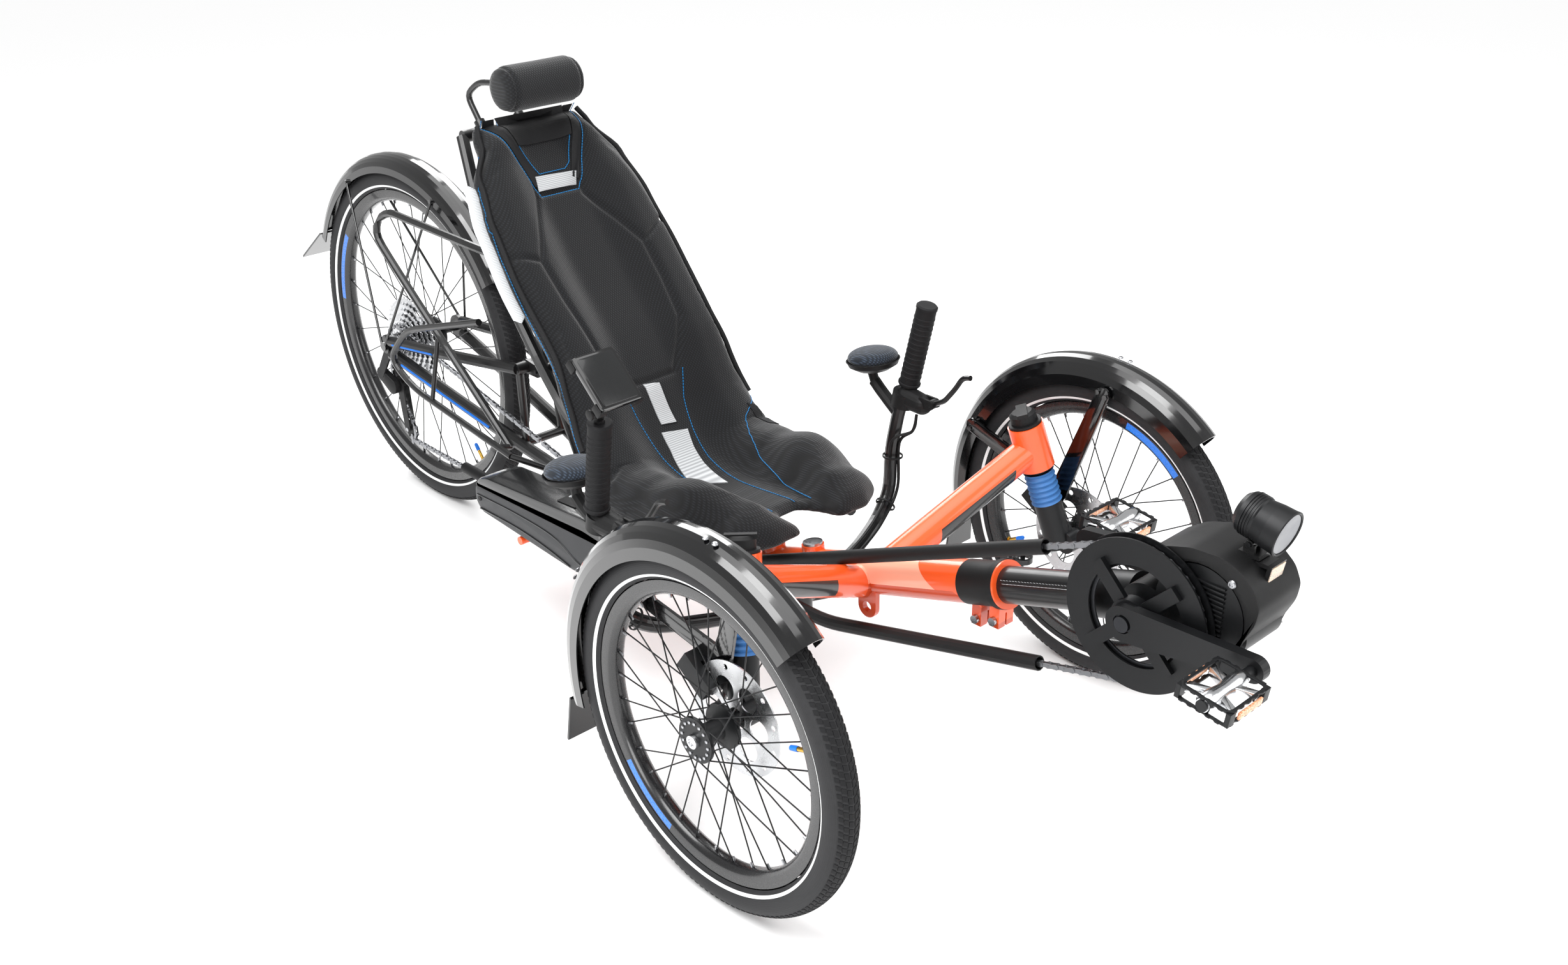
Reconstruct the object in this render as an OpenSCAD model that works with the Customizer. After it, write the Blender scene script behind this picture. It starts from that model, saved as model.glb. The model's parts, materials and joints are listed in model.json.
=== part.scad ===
// Recumbent adult tricycle: two steered front wheels, one driven rear wheel, mid-drive motor.
// X points forward, Y to the rider's left, Z up. The ground is z = 0.

/* [Running gear] */
// Distance between the front and rear axles
wheelbase = 1280; // [1150:10:1350]
// Distance between the middles of the front tyres
track = 785; // [740:5:840]
// Outer radius of a front tyre
front_r = 250; // [240:1:255]
// Outer radius of the rear tyre
rear_r = 326; // [315:1:335]
// Width of a tyre
tyre_w = 47; // [40:1:50]
// Spokes in one wheel
spoke_count = 32; // [28:4:36]
// Radius of a front fender's crown
front_fender_r = 282; // [276:1:290]
// Radius of the rear fender's crown
rear_fender_r = 350; // [345:1:358]

/* [Steering and suspension] */
// Lean of the kingpins backwards, in degrees
castor = 13.2; // [10:0.1:15]
// Lean of the kingpins inwards, in degrees
kingpin_lean = 11.9; // [8:0.1:14]
// Outer diameter of a head tube
head_tube_d = 54; // [50:1:58]
// Diameter of a telescopic stanchion
stanchion_d = 26; // [22:1:28]
// Diameter of the handlebar tube
bar_d = 22; // [20:1:24]

/* [Frame] */
// Diameter of the main tube
main_tube_d = 60; // [58:1:64]
// Diameter of the sliding boom
boom_d = 50; // [48:1:52]
// Rise of the boom, in degrees
boom_rise = 18.1; // [16:0.1:20]
// Diameter of a cross arm where it meets the main tube
arm_root_d = 48; // [42:1:50]
// Diameter of a cross arm at its head tube
arm_tip_d = 44; // [38:1:46]

/* [Drive] */
// Crank length, from centre to centre
crank_length = 170; // [150:5:175]
// Distance of the crank axis ahead of the front axle
bb_x = 379; // [370:1:390]
// Height of the crank axis
bb_z = 440; // [430:1:450]
// Pitch radius of the chainring
ring_r = 89; // [80:1:92]
// Plane in which the chain runs
chain_y = -54; // [-56:1:-52]

/* [Seat] */
// Half width of the seat back at its widest
seat_half_w = 172; // [150:1:185]
// Thickness of the seat pads
pad_t = 44; // [30:1:50]
// Diameter of the headrest roll
headrest_d = 82; // [75:1:100]
// Length of the headrest roll
headrest_len = 152; // [130:1:180]

/* [Hidden] */

// The origin is under the middle of the whole tricycle; the drawings below start at the front axle
front_axle_x = 545.2;
run = 0.05;               // radial clearance of a running fit
eps = 0.3;                // clearance between neighbours that move
fine = 64;
half_track = track / 2;
rim_front_r = front_r - tyre_w;
rim_rear_r = rear_r - tyre_w;
axle_d = 15;
hub_flange_r = 31;
front_axle_z = front_r;
rear_axle = [-wheelbase, 0, rear_r];

kingpin_base = [-32, 309, 315];      // where the left bellows meets the strut
kingpin_up = [-tan(castor), -tan(kingpin_lean), 1] / norm([tan(castor), tan(kingpin_lean), 1]);
strut_travel = 45;
bellows_len = 55;
strut_len = 78;

boom_dir = [cos(boom_rise), 0, sin(boom_rise)];
bb = [bb_x, 0, bb_z];
collar_back = 245;                   // from the crank axis back to the boom collar's front face
main_len = 510;                      // of the sloping main tube, behind the collar
main_foot = bb - (collar_back + main_len) * boom_dir;
swing_pivot = [-800, 0, 215];
shock_lug = [-690, 0, 335];
shock_eye = [-885, 0, 372];

ring_back_angle = 23.4;              // slope of the chain's upper run
ring_low_angle = 15.1;               // slope of its lower run
idler = [-430, chain_y, 214.7];
idler_r = 30;
cog_r = 34.4;                        // pitch radius of the sprocket in use
chain_h = 8.6;
chain_w = 6.6;
guide_pulley = [-1299, chain_y, 258];
tension_pulley = [-1278, chain_y, 152];
pulley_r = 23;

steer_pivot = [-250, 0, 175];
tie_inner = [-305, 22, 139];
tie_outer = [-84, 326, 188];
grip_low = [-322, 313, 417];
grip_high = [-294, 319, 552];
back_dir = unit([-0.614, 0, 0.789]); // up along the seat back
guide_foot = [-922, 38, 749];        // lower end of the left headrest guide

// ---- helpers ----
function unit(v) = v / norm(v);
function along(a, b, t) = a + (b - a) * t;
function left_right(p) = [p[0], -p[1], p[2]];

// a corner of a bent tube, rounded with a quadratic curve
function corner(a, p, b, r) = [for (k = [0:4])
    let (t = k / 4, s = p + unit(a - p) * r, e = p + unit(b - p) * r)
    (1 - t) * (1 - t) * s + 2 * t * (1 - t) * p + t * t * e];
function bent(pts, r) = concat([pts[0]],
    [for (i = [1:len(pts) - 2]) each corner(pts[i - 1], pts[i], pts[i + 1], r)], [pts[len(pts) - 1]]);
function tangent(p, i) = i == 0 ? unit(p[1] - p[0])
    : i == len(p) - 1 ? unit(p[i] - p[i - 1]) : unit(unit(p[i + 1] - p[i]) + unit(p[i] - p[i - 1]));
function carried(n, t) = unit(n - (n * t) * t);
function normals(p, i, prev) = i == len(p) ? []
    : let (n = carried(prev, tangent(p, i))) concat([n], normals(p, i + 1, n));

// a tube of given diameter swept along a list of points
module swept(p, d, sides = 10) {
    start = abs(tangent(p, 0)[0]) < 0.8 ? [1, 0, 0] : [0, 1, 0];
    n = normals(p, 0, start);
    last = (len(p) - 1) * sides;
    rings = [for (i = [0:len(p) - 1]) let (b = cross(tangent(p, i), n[i])) each
        [for (k = [0:sides - 1]) p[i] + d / 2 * (cos(360 * k / sides) * n[i] + sin(360 * k / sides) * b)]];
    walls = [for (i = [0:len(p) - 2]) each [for (k = [0:sides - 1]) let (m = (k + 1) % sides)
        [i * sides + k, (i + 1) * sides + k, (i + 1) * sides + m, i * sides + m]]];
    polyhedron(rings, concat(walls, [[for (k = [0:sides - 1]) k]], [[for (k = [sides - 1:-1:0]) last + k]]));
}
// a straight round bar between two points
module rod(a, b, d, d2 = 0) {
    v = b - a;
    translate(a) rotate([0, acos(v[2] / norm(v)), atan2(v[1], v[0])])
        cylinder(d1 = d, d2 = d2 > 0 ? d2 : d, h = norm(v), $fn = fine);
}
// a round bar or hole along Y, centred on p
module cross_rod(p, d, w) translate(p) rotate([90, 0, 0]) cylinder(d = d, h = w, center = true, $fn = fine);
module placed() translate([front_axle_x, 0, 0]) children();
// draws the left-hand part, or its mirror image
module sided(left) placed() mirror([0, left ? 0 : 1, 0]) children();
module both_sides() {
    children();
    mirror([0, 1, 0]) children();
}
// local Z runs along the axle towards the right, and angles start forward and rise
module on_axle(p) translate(p) rotate([90, 0, 0]) children();
module at_kingpin() translate(kingpin_base)
    rotate([0, acos(kingpin_up[2]), atan2(kingpin_up[1], kingpin_up[0])]) children();
module at_boom(s) translate(bb - s * boom_dir) rotate([0, -90 - boom_rise, 0]) children();
module ring(r_out, r_in, h) difference() {
    cylinder(r = r_out, h = h, center = true, $fn = fine);
    cylinder(r = r_in, h = h + 1, center = true, $fn = fine);
}
// a flat link with round ends, lying across Y
module link_plate(a, b, da, db, t) hull() {
    translate(a) rotate([90, 0, 0]) cylinder(d = da, h = t, center = true, $fn = 24);
    translate(b) rotate([90, 0, 0]) cylinder(d = db, h = t, center = true, $fn = 24);
}

// ---- wheels ----
// tyre casing with its two side walls open towards the rim
module tyre(r) rotate_extrude($fn = fine) difference() {
    translate([r - tyre_w / 2, 0]) circle(d = tyre_w, $fn = fine);
    translate([r - tyre_w / 2, 0]) circle(d = tyre_w - 7, $fn = fine);
    translate([r - tyre_w - 1, -tyre_w / 2]) square([6, tyre_w]);
}
module rim(bead_r) rotate_extrude($fn = fine) polygon([
    [bead_r - 17, -5], [bead_r - 12, -12.5], [bead_r + 4, -13.5], [bead_r + 4, -11.5], [bead_r - 4, -10],
    [bead_r - 4, 10], [bead_r + 4, 11.5], [bead_r + 4, 13.5], [bead_r - 12, 12.5], [bead_r - 17, 5]]);
// the spokes lean one way on one flange and the other way on the other
module spokes(bead_r, z_a, z_b) for (i = [0:spoke_count - 1]) {
    flange = i % 2 == 0 ? z_a : z_b;
    lean = i % 2 == 0 ? 62 : -62;
    a = 360 * i / spoke_count;
    start = [(hub_flange_r + 0.6) * cos(a + lean), (hub_flange_r + 0.6) * sin(a + lean), flange];
    finish = [(bead_r - 17.6) * cos(a), (bead_r - 17.6) * sin(a), sign(flange) * 2.2];
    v = finish - start;
    translate(start) rotate([0, acos(v[2] / norm(v)), atan2(v[1], v[0])]) cylinder(d = 2, h = norm(v), $fn = 6);
}
module front_hub() difference() {
    union() {
        translate([0, 0, -21.5]) cylinder(d = 30, h = 67, $fn = fine);
        for (z = [-19, 24]) translate([0, 0, z]) cylinder(r = hub_flange_r, h = 3, center = true, $fn = fine);
        translate([0, 0, 38]) cylinder(d = 44, h = 3.4, $fn = fine);
    }
    translate([0, 0, -30]) cylinder(d = axle_d + 2 * run, h = 90, $fn = fine);
}
module front_wheel_centre() on_axle([0, half_track, front_axle_z]) children();

module tyre_left() color("#1c1c1e") sided(true) front_wheel_centre() tyre(front_r);
module tyre_right() color("#1c1c1e") sided(false) front_wheel_centre() tyre(front_r);
module front_spoked_wheel() front_wheel_centre() {
    rim(rim_front_r);
    spokes(rim_front_r, -19, 24);
    front_hub();
}
module spoked_wheel_left() color("#222222") sided(true) front_spoked_wheel();
module spoked_wheel_right() color("#222222") sided(false) front_spoked_wheel();
module front_rotor() front_wheel_centre() translate([0, 0, 42.5]) difference() {
    ring(80, 15.2, 1.8);
    for (a = [0:60:300]) rotate(a) translate([42, 0, -3]) cylinder(d = 34, h = 6, $fn = fine);
    for (a = [0:30:330]) rotate(a + 15) translate([71, 0, -3]) cylinder(d = 8, h = 6, $fn = fine);
}
module rotor_left() color("silver") sided(true) front_rotor();
module rotor_right() color("silver") sided(false) front_rotor();

module rear_tyre() color("#1c1c1e") placed() on_axle(rear_axle) tyre(rear_r);
module rear_spoked_wheel() color("#222222") placed() on_axle(rear_axle) {
    rim(rim_rear_r);
    spokes(rim_rear_r, -28, 20);
    difference() {
        union() {
            translate([0, 0, -34]) cylinder(d = 34, h = 96, $fn = fine);
            for (z = [-28, 20]) translate([0, 0, z]) cylinder(r = hub_flange_r, h = 3, center = true, $fn = fine);
        }
        translate([0, 0, -40]) cylinder(d = 12 + 2 * run, h = 110, $fn = fine);
    }
}
module cassette() color("#9a9a98") placed() on_axle(rear_axle) {
    sprocket_r = [84, 74, 64, 55, 47, 40, cog_r - 4.7, 25];
    difference() {
        union() {
            for (i = [0:7]) translate([0, 0, 27 + 4.5 * i])
                cylinder(r = sprocket_r[i], h = 1.8, center = true, $fn = fine);
            translate([0, 0, 26]) cylinder(d = 42, h = 34, $fn = fine);
        }
        translate([0, 0, 20]) cylinder(d = 34 + 2 * run, h = 50, $fn = fine);
        for (a = [0:60:300]) rotate(a) translate([62, 0, 25]) cylinder(d = 20, h = 12, $fn = fine);
    }
}

// ---- front corners, drawn for the left ----
module kingpin() at_kingpin() {
    translate([0, 0, -25]) cylinder(d = stanchion_d, h = 90, $fn = fine);
    translate([0, 0, bellows_len + 1]) cylinder(d = 44, h = 3.5, $fn = fine);
    translate([0, 0, 58]) cylinder(d = 34, h = 76, $fn = fine);
    translate([0, 0, 131.5]) cylinder(d = 50, h = 4, $fn = fine);
    translate([0, 0, 135.5]) cylinder(d = 40, h = 13, $fn = fine);
    translate([0, 0, 148.5]) cylinder(d1 = 40, d2 = 30, h = 4, $fn = fine);
    translate([-8, -21, 148.5]) cube([16, 42, 6]);
}
module kingpin_left() color("#2a2a2c") sided(true) kingpin();
module kingpin_right() color("#2a2a2c") sided(false) kingpin();

module bellows() at_kingpin() translate([0, 0, 1]) rotate_extrude($fn = fine) polygon(concat(
    [for (k = [0:12]) [k % 2 == 0 ? 23.5 : 20, k * (bellows_len - 3) / 12]],
    [for (k = [12:-1:0]) [k % 2 == 0 ? 21.5 : 18, k * (bellows_len - 3) / 12]]));
module bellows_left() color("#3f74b0") sided(true) bellows();
module bellows_right() color("#3f74b0") sided(false) bellows();

// strut sleeve with the stub axle, steering arm and brake caliper
module knuckle() {
    rotor_y = half_track - 42.5;
    difference() {
        union() {
            at_kingpin() translate([0, 0, -strut_len]) cylinder(d = 42, h = strut_len, $fn = fine);
            cross_rod([0, 330, front_axle_z], 34, 26);
            link_plate([-60, 331, 290], [-14, 331, 262], 22, 30, 8);
            hull() {
                translate([-14, 330, 236]) cylinder(d = 30, h = 12, $fn = 24);
                translate([tie_outer[0], tie_outer[1], tie_outer[2] + 12]) cylinder(d = 18, h = 10, $fn = 24);
            }
        }
        at_kingpin() translate([0, 0, -strut_len + 4])
            cylinder(d = stanchion_d + 2 * run, h = strut_len, $fn = fine);
    }
    cross_rod([0, (342 + half_track + 22) / 2, front_axle_z], axle_d, half_track + 22 - 342);
    cross_rod([0, half_track + 24.6, front_axle_z], 20, 4);
    translate([tie_outer[0], tie_outer[1], tie_outer[2] - 5]) cylinder(d = 8, h = 18, $fn = fine);
    difference() {
        translate([-66, rotor_y - 2, 288]) rotate([0, 35, 0]) cube([58, 34, 30], center = true);
        cross_rod([0, rotor_y, front_axle_z], 172, 4);
    }
}
module knuckle_left() color("#29292b") sided(true) knuckle();
module knuckle_right() color("#29292b") sided(false) knuckle();

// fender shell: a crown and two side walls, swept about the wheel
function fender_section(r, half_w, wall, depth) = [for (k = [0:12])
    let (a = 180 * k / 12) [r - depth + (depth - wall) * pow(sin(a), 0.75), (half_w - wall) * cos(a)]];
module fender_shell(r, half_w, depth, from, sweep) rotate([0, 0, from])
    rotate_extrude(angle = sweep, $fn = 96) polygon(concat(fender_section(r, half_w, 0, depth),
        [for (k = [12:-1:0]) fender_section(r, half_w, 2, depth)[k]]));
module mudflap(r, at, tip_r, drop) hull() for (q = [[0, r - 6, 26], [drop, tip_r, 31]])
    rotate([0, 0, at + q[0]]) translate([q[1], 0, 0]) cube([2.5, 3, 2 * q[2]], center = true);
fender_bolts = [[26, 487], [12, 492], [-226, 359], [-219, 371]];
module front_fender() {
    inner_y = half_track - 31;
    front_wheel_centre() {
        fender_shell(front_fender_r, 31, 44, 49, 146);
        mudflap(front_fender_r, 194, front_fender_r + 22, 12);
    }
    for (b = [[20, 488], [-222, 364]]) hull() {
        translate([-34, 340, 318]) rotate([90, 0, 0]) cylinder(d = 30, h = 4, center = true, $fn = 24);
        translate([b[0], inner_y - 5, b[1]]) rotate([90, 0, 0]) cylinder(d = 24, h = 4, center = true, $fn = 24);
    }
    for (b = fender_bolts) cross_rod([b[0], inner_y - 3, b[1]], 8, 14);
}
module fender_left() color("#0b0b0c") sided(true) front_fender();
module fender_right() color("#0b0b0c") sided(false) front_fender();

// the outer eye is a wide ring that the knuckle's stud moves about in
module tie_rod() difference() {
    union() {
        rod(along(tie_inner, tie_outer, 0.02), along(tie_inner, tie_outer, 0.965), 10);
        translate(tie_inner) cylinder(d = 18, h = 10, center = true, $fn = fine);
        translate(tie_outer) cylinder(d = 32, h = 9, center = true, $fn = fine);
    }
    translate(tie_inner) cylinder(d = 8 + 2 * run, h = 20, center = true, $fn = fine);
    translate(tie_outer) cylinder(d = 24, h = 20, center = true, $fn = fine);
}
module tie_rod_left() color("#b0b0b0") sided(true) tie_rod();
module tie_rod_right() color("#b0b0b0") sided(false) tie_rod();

// ---- frame ----
battery_brackets = [[-500, 176], [-700, 181]];
eyelet = [-87, -20, 243];
module main_frame() color("#f4622a") placed() difference() {
    arm_root = [-105, 0, 268];
    tower_foot = [-740, 0, 215];
    tower_top = [-705, 0, 299];
    union() {
        at_boom(collar_back) cylinder(d = main_tube_d, h = main_len, $fn = fine);
        at_boom(collar_back) cylinder(d = main_tube_d + 6, h = 12, $fn = fine);
        translate(main_foot) sphere(d = main_tube_d + 5, $fn = fine);
        rod(main_foot, [swing_pivot[0] + 20, 0, swing_pivot[2]], 50);
        cross_rod(swing_pivot, 44, 56);
        both_sides() {
            rod(arm_root, [kingpin_base[0] + kingpin_up[0] * 92, kingpin_base[1] + kingpin_up[1] * 92,
                kingpin_base[2] + kingpin_up[2] * 92], arm_root_d, arm_tip_d);
            at_kingpin() translate([0, 0, 60]) cylinder(d = head_tube_d, h = 71, $fn = fine);
        }
        for (x = [106, 136]) translate([x - 8, -15, 292 + (x - 106) * 0.3]) cube([16, 30, 34]);
        rod([-215, 0, 240], [-222, 0, 284], 34);
        rod([-299, 0, 212], [-306, 0, 254], 34);
        rod(tower_foot, tower_top, 36);
        for (y = [-19, 19]) link_plate([-714, y, 278], [shock_lug[0], y, shock_lug[2]], 34, 26, 6);
        translate([-250, 0, 199.5]) cylinder(d = 40, h = 30, $fn = fine);
        cross_rod([idler[0], -28, idler[2]], 18, 32);
        cross_rod(foot_bolt, 22, 52);
        cross_rod(front_bolt, 16, 58);
        for (b = battery_brackets) {
            cross_rod([b[0], -100, b[1]], 14, 200);
            translate([b[0] - 7, -12, b[1] - 4]) cube([14, 24, 24]);
        }
        link_plate([-87, -20, 266], [eyelet[0], eyelet[1], eyelet[2]], 34, 34, 8);
    }
    at_boom(collar_back - 1) cylinder(d = boom_d + 2 * run, h = 262, $fn = fine);
    both_sides() at_kingpin() translate([0, 0, 50]) cylinder(d = 34 + 2 * run, h = 100, $fn = fine);
    cross_rod(swing_pivot, 16 + 2 * run, 80);
    translate([-250, 0, 180]) cylinder(d = 12, h = 30, $fn = fine);
    cross_rod([idler[0], -30, idler[2]], 8, 80);
    for (x = [106, 136]) {
        translate([x - 10, -1.5, 280]) cube([20, 3, 32 + (x - 106) * 0.3]);
        cross_rod([x, 0, 302 + (x - 106) * 0.3], 8, 60);
    }
    cross_rod(shock_lug, 10, 60);
    cross_rod(eyelet, 16, 20);
}

// clamp bolts, boss plugs, steering and swingarm pivot bolts
module frame_fittings() color("#3a3a3c") placed() {
    for (x = [106, 136]) {
        cross_rod([x, 0, 302 + (x - 106) * 0.3], 7.8, 34);
        cross_rod([x, -18, 302 + (x - 106) * 0.3], 12, 5);
    }
    translate([-222, 0, 284]) rotate([0, -9, 0]) cylinder(d = 30, h = 4, $fn = fine);
    translate([-306, 0, 254]) rotate([0, -9, 0]) cylinder(d = 30, h = 4, $fn = fine);
    translate([steer_pivot[0], steer_pivot[1], 138]) cylinder(d = 11.9, h = 71, $fn = fine);
    translate([steer_pivot[0], steer_pivot[1], 138]) cylinder(d = 20, h = 6.5, $fn = fine);
    cross_rod([idler[0], -36, idler[2]], 7.9, 56);
    cross_rod(shock_lug, 9.9, 50);
}

// ---- seat ----
seat_line = [[-888, 813], [-814, 710], [-714, 583], [-639, 500], [-597, 435], [-560, 372], [-505, 322],
    [-430, 300], [-330, 306], [-240, 318]];
function seat_point(i, y, lift) = let (q = seat_line[i],
    t = unit(seat_line[min(i + 1, len(seat_line) - 1)] - seat_line[max(i - 1, 0)]))
    [q[0] - t[1] * lift, y, q[1] + t[0] * lift];
seat_rail_y = [92, 120, 138, 142, 136, 116, 110, 108, 104, 98];
seat_rail_lift = [-48, -48, -48, -48, -44, -32, -22, -18, -18, -18];
foot_bolt = [-741, 0, 222];           // holds the seat stays and the rack
front_bolt = [-490, 0, 226];          // holds the seat base
module seat_frame() color("#1b1b1d") placed() {
    rail = [for (i = [0:len(seat_line) - 1]) seat_point(i, seat_rail_y[i], seat_rail_lift[i])];
    both_sides() {
        swept(bent(rail, 24), 20);
        difference() {
            rod(guide_foot, guide_foot + 60 * back_dir, 18);
            rod(guide_foot - 10 * back_dir, guide_foot + 70 * back_dir, 10 + 2 * run);
        }
    }
    rod(rail[0], left_right(rail[0]), 20);
    rod(along(rail[1], rail[2], 0.1), left_right(along(rail[1], rail[2], 0.1)), 18);
    rod(rail[3], left_right(rail[3]), 18);
    rod(rail[6], left_right(rail[6]), 18);
    rod(rail[8], left_right(rail[8]), 18);
    both_sides() {
        swept(bent([foot_bolt + [0, 31, 0], [-790, 60, 420], [-836, 62, 590], [-845, 62, 664]], 40), 14);
        cross_rod(foot_bolt + [0, 31, 0], 20, 9);
        rod(front_bolt + [0, 36, 0], [-514, 64, 300], 14);
        cross_rod(front_bolt + [0, 34, 0], 18, 9);
    }
}
// a pad is the space between two offset copies of the seat line, cut to its outline
module pad_band(first, last, above, below) rotate([90, 0, 0]) linear_extrude(500, center = true)
    polygon(concat([for (i = [first:last]) let (p = seat_point(i, 0, above)) [p[0], p[2]]],
        [for (i = [last:-1:first]) let (p = seat_point(i, 0, below)) [p[0], p[2]]]));
module seat_back_pad() color("#202226") placed() intersection() {
    pad_band(0, 4, pad_t / 2 + 8, -pad_t / 2 - 10);
    translate([-1100, 0, 0]) rotate([90, 0, 90]) linear_extrude(700) polygon([
        for (q = [[-105, 850], [-118, 780], [-150, 735], [-162, 640], [-162, 540], [-178, 470], [-178, 380],
            [178, 380], [178, 470], [162, 540], [162, 640], [150, 735], [118, 780], [105, 850]]) q]);
}
module seat_base_pad() color("#202226") placed() intersection() {
    pad_band(5, 9, pad_t + 20, -7);
    translate([0, 0, 200]) linear_extrude(300) polygon([[-640, -178], [-640, 178], [-480, 184], [-330, 176],
        [-230, 150], [-190, 110], [-190, 55], [-262, 22], [-262, -22], [-190, -55], [-190, -110],
        [-230, -150], [-330, -176], [-480, -184]]);
}
module headrest_posts() color("#2a2a2c") placed() {
    both_sides() {
        swept(bent([guide_foot - 25 * back_dir, guide_foot + 108 * back_dir, [-950, 38, 860], [-884, 38, 868]],
            18), 10, 16);
    }
}
module headrest_pad() color("#202226") placed() cross_rod([-841, 0, 868], headrest_d, headrest_len);

// ---- battery and rack ----
module battery_pack() color("#4a4b4c") placed() {
    section = [[-820, 240], [-822, 214], [-806, 197], [-560, 184], [-436, 187], [-424, 206], [-424, 262],
        [-440, 281], [-520, 287], [-780, 266], [-806, 258]];
    translate([0, -132, 0]) rotate([90, 0, 0]) linear_extrude(70) polygon(section);
}
rack_upper = [[-840, 80, 596], [-905, 98, 606], [-1195, 98, 611], [-1246, 98, 562], [-1180, 98, 508], [-860, 98, 262]];
rack_lower = [[-880, 125, 492], [-1120, 125, 415], [-1192, 125, 342], [-1120, 125, 304], [-820, 125, 268]];
module rack() color("#19191b") placed() {
    both_sides() {
        swept(bent(rack_upper, 36), 14);
        swept(bent(rack_lower, 36), 12);
        rod([-862, 98, 264], [-858, 125, 272.5], 10);
        rod(foot_bolt + [0, 41, 0], [-822, 125, 268], 11);
        cross_rod(foot_bolt + [0, 41, 0], 20, 9);
        rod([-1060, 98, 417], [-1058, 125, 301], 8);
    }
    rod([-905, 98, 606], [-905, -98, 606], 10);
}

// ---- chain line ----
function circle_point(c, r, a) = [c[0] + r * cos(a), c[1], c[2] + r * sin(a)];
top_tangent = circle_point([bb_x, chain_y, bb_z], ring_r, 90 + ring_back_angle);
low_tangent = circle_point([bb_x, chain_y, bb_z], ring_r, -90 + ring_low_angle);
upper_dir = [-cos(ring_back_angle), 0, -sin(ring_back_angle)];
lower_dir = [-cos(ring_low_angle), 0, -sin(ring_low_angle)];
return_route = [low_tangent + 165 * lower_dir, low_tangent + 560 * lower_dir, [-250, chain_y, 207],
    [-318, chain_y, 203], [-385, chain_y, 166], [-460, chain_y, 146], [-620, chain_y, 130], [-705, chain_y, 127]];
module hose(pts, d_out, d_in) difference() {
    swept(pts, d_out, 12);
    swept(concat([pts[0] - 2 * unit(pts[1] - pts[0])],
        [for (i = [1:len(pts) - 2]) pts[i]],
        [pts[len(pts) - 1] + 2 * unit(pts[len(pts) - 1] - pts[len(pts) - 2])]), d_in, 12);
}
module chain_tubes() color("#151517") placed() {
    difference() {
        rod(top_tangent + 112 * upper_dir, top_tangent + 770 * upper_dir, 20);
        rod(top_tangent + 111 * upper_dir, top_tangent + 771 * upper_dir, 17);
    }
    hose(bent(return_route, 30), 20, 17);
    rod([-240, -27.3, 253.6], [-240, -46.2, 264.6], 8);
}
module chain_run(a, b) {
    v = b - a;
    translate(a) rotate([0, acos(v[2] / norm(v)), atan2(v[1], v[0])])
        translate([0, 0, norm(v) / 2]) cube([chain_h, chain_w, norm(v)], center = true);
}
module chain_arc(c, r, from, sweep) translate(c) rotate([90, 0, 0]) rotate([0, 0, from])
    rotate_extrude(angle = sweep, $fn = fine) translate([r - chain_h / 2, -chain_w / 2]) square([chain_h, chain_w]);
module chain_tube_rear() color("#151517") placed() difference() {
    rod([-1092, chain_y, 132.5], [-744, chain_y, 126], 20);
    rod([-1093, chain_y, 132.5], [-743, chain_y, 126], 17);
}
rear_slope = 11.8;                   // of the chain's run from the idler to the cassette
cog = [rear_axle[0], chain_y, rear_axle[2]];
over_cog = circle_point(cog, cog_r, 90 - rear_slope);
rear_dir = [cos(rear_slope), 0, -sin(rear_slope)];
module chain_middle() color("#8d8f92") placed() {
    under_front = circle_point(idler, idler_r, -90 + ring_back_angle);
    under_rear = circle_point(idler, idler_r, -90 - rear_slope);
    chain_run(top_tangent + 755 * upper_dir, under_front);
    chain_arc(idler, idler_r, -90 - rear_slope, ring_back_angle + rear_slope);
    chain_run(under_rear, under_rear - 392 * rear_dir);
}
module chain_front() color("#8d8f92") placed() {
    chain_run(top_tangent, top_tangent + 190 * upper_dir);
    chain_run(low_tangent, low_tangent + 245 * lower_dir);
    chain_arc([bb_x, chain_y, bb_z], ring_r, -90 + ring_low_angle, 180 - ring_low_angle + ring_back_angle);
}
// from the idler over the cog, down through the derailleur and back
module chain_rear() color("#8d8f92") placed() {
    chain_run(over_cog + 436 * rear_dir, over_cog);
    chain_arc(cog, cog_r, 90 - rear_slope, 97.3);
    chain_run(circle_point(cog, cog_r, 187.3 - rear_slope), [-1319, chain_y, 268]);
    chain_run([-1318, chain_y, 262], [-1257, chain_y, 150]);
    chain_run([-1262, chain_y, 136], [-1040, chain_y, 131.5]);
}
module idler_pulley() color("#1e1e20") placed() on_axle(idler) difference() {
    union() {
        cylinder(r = idler_r - 5, h = 6, center = true, $fn = fine);
        for (z = [-5.5, 5.5]) translate([0, 0, z]) cylinder(r = idler_r + 3, h = 3, center = true, $fn = fine);
    }
    cylinder(d = 8, h = 20, center = true, $fn = fine);
}

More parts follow.
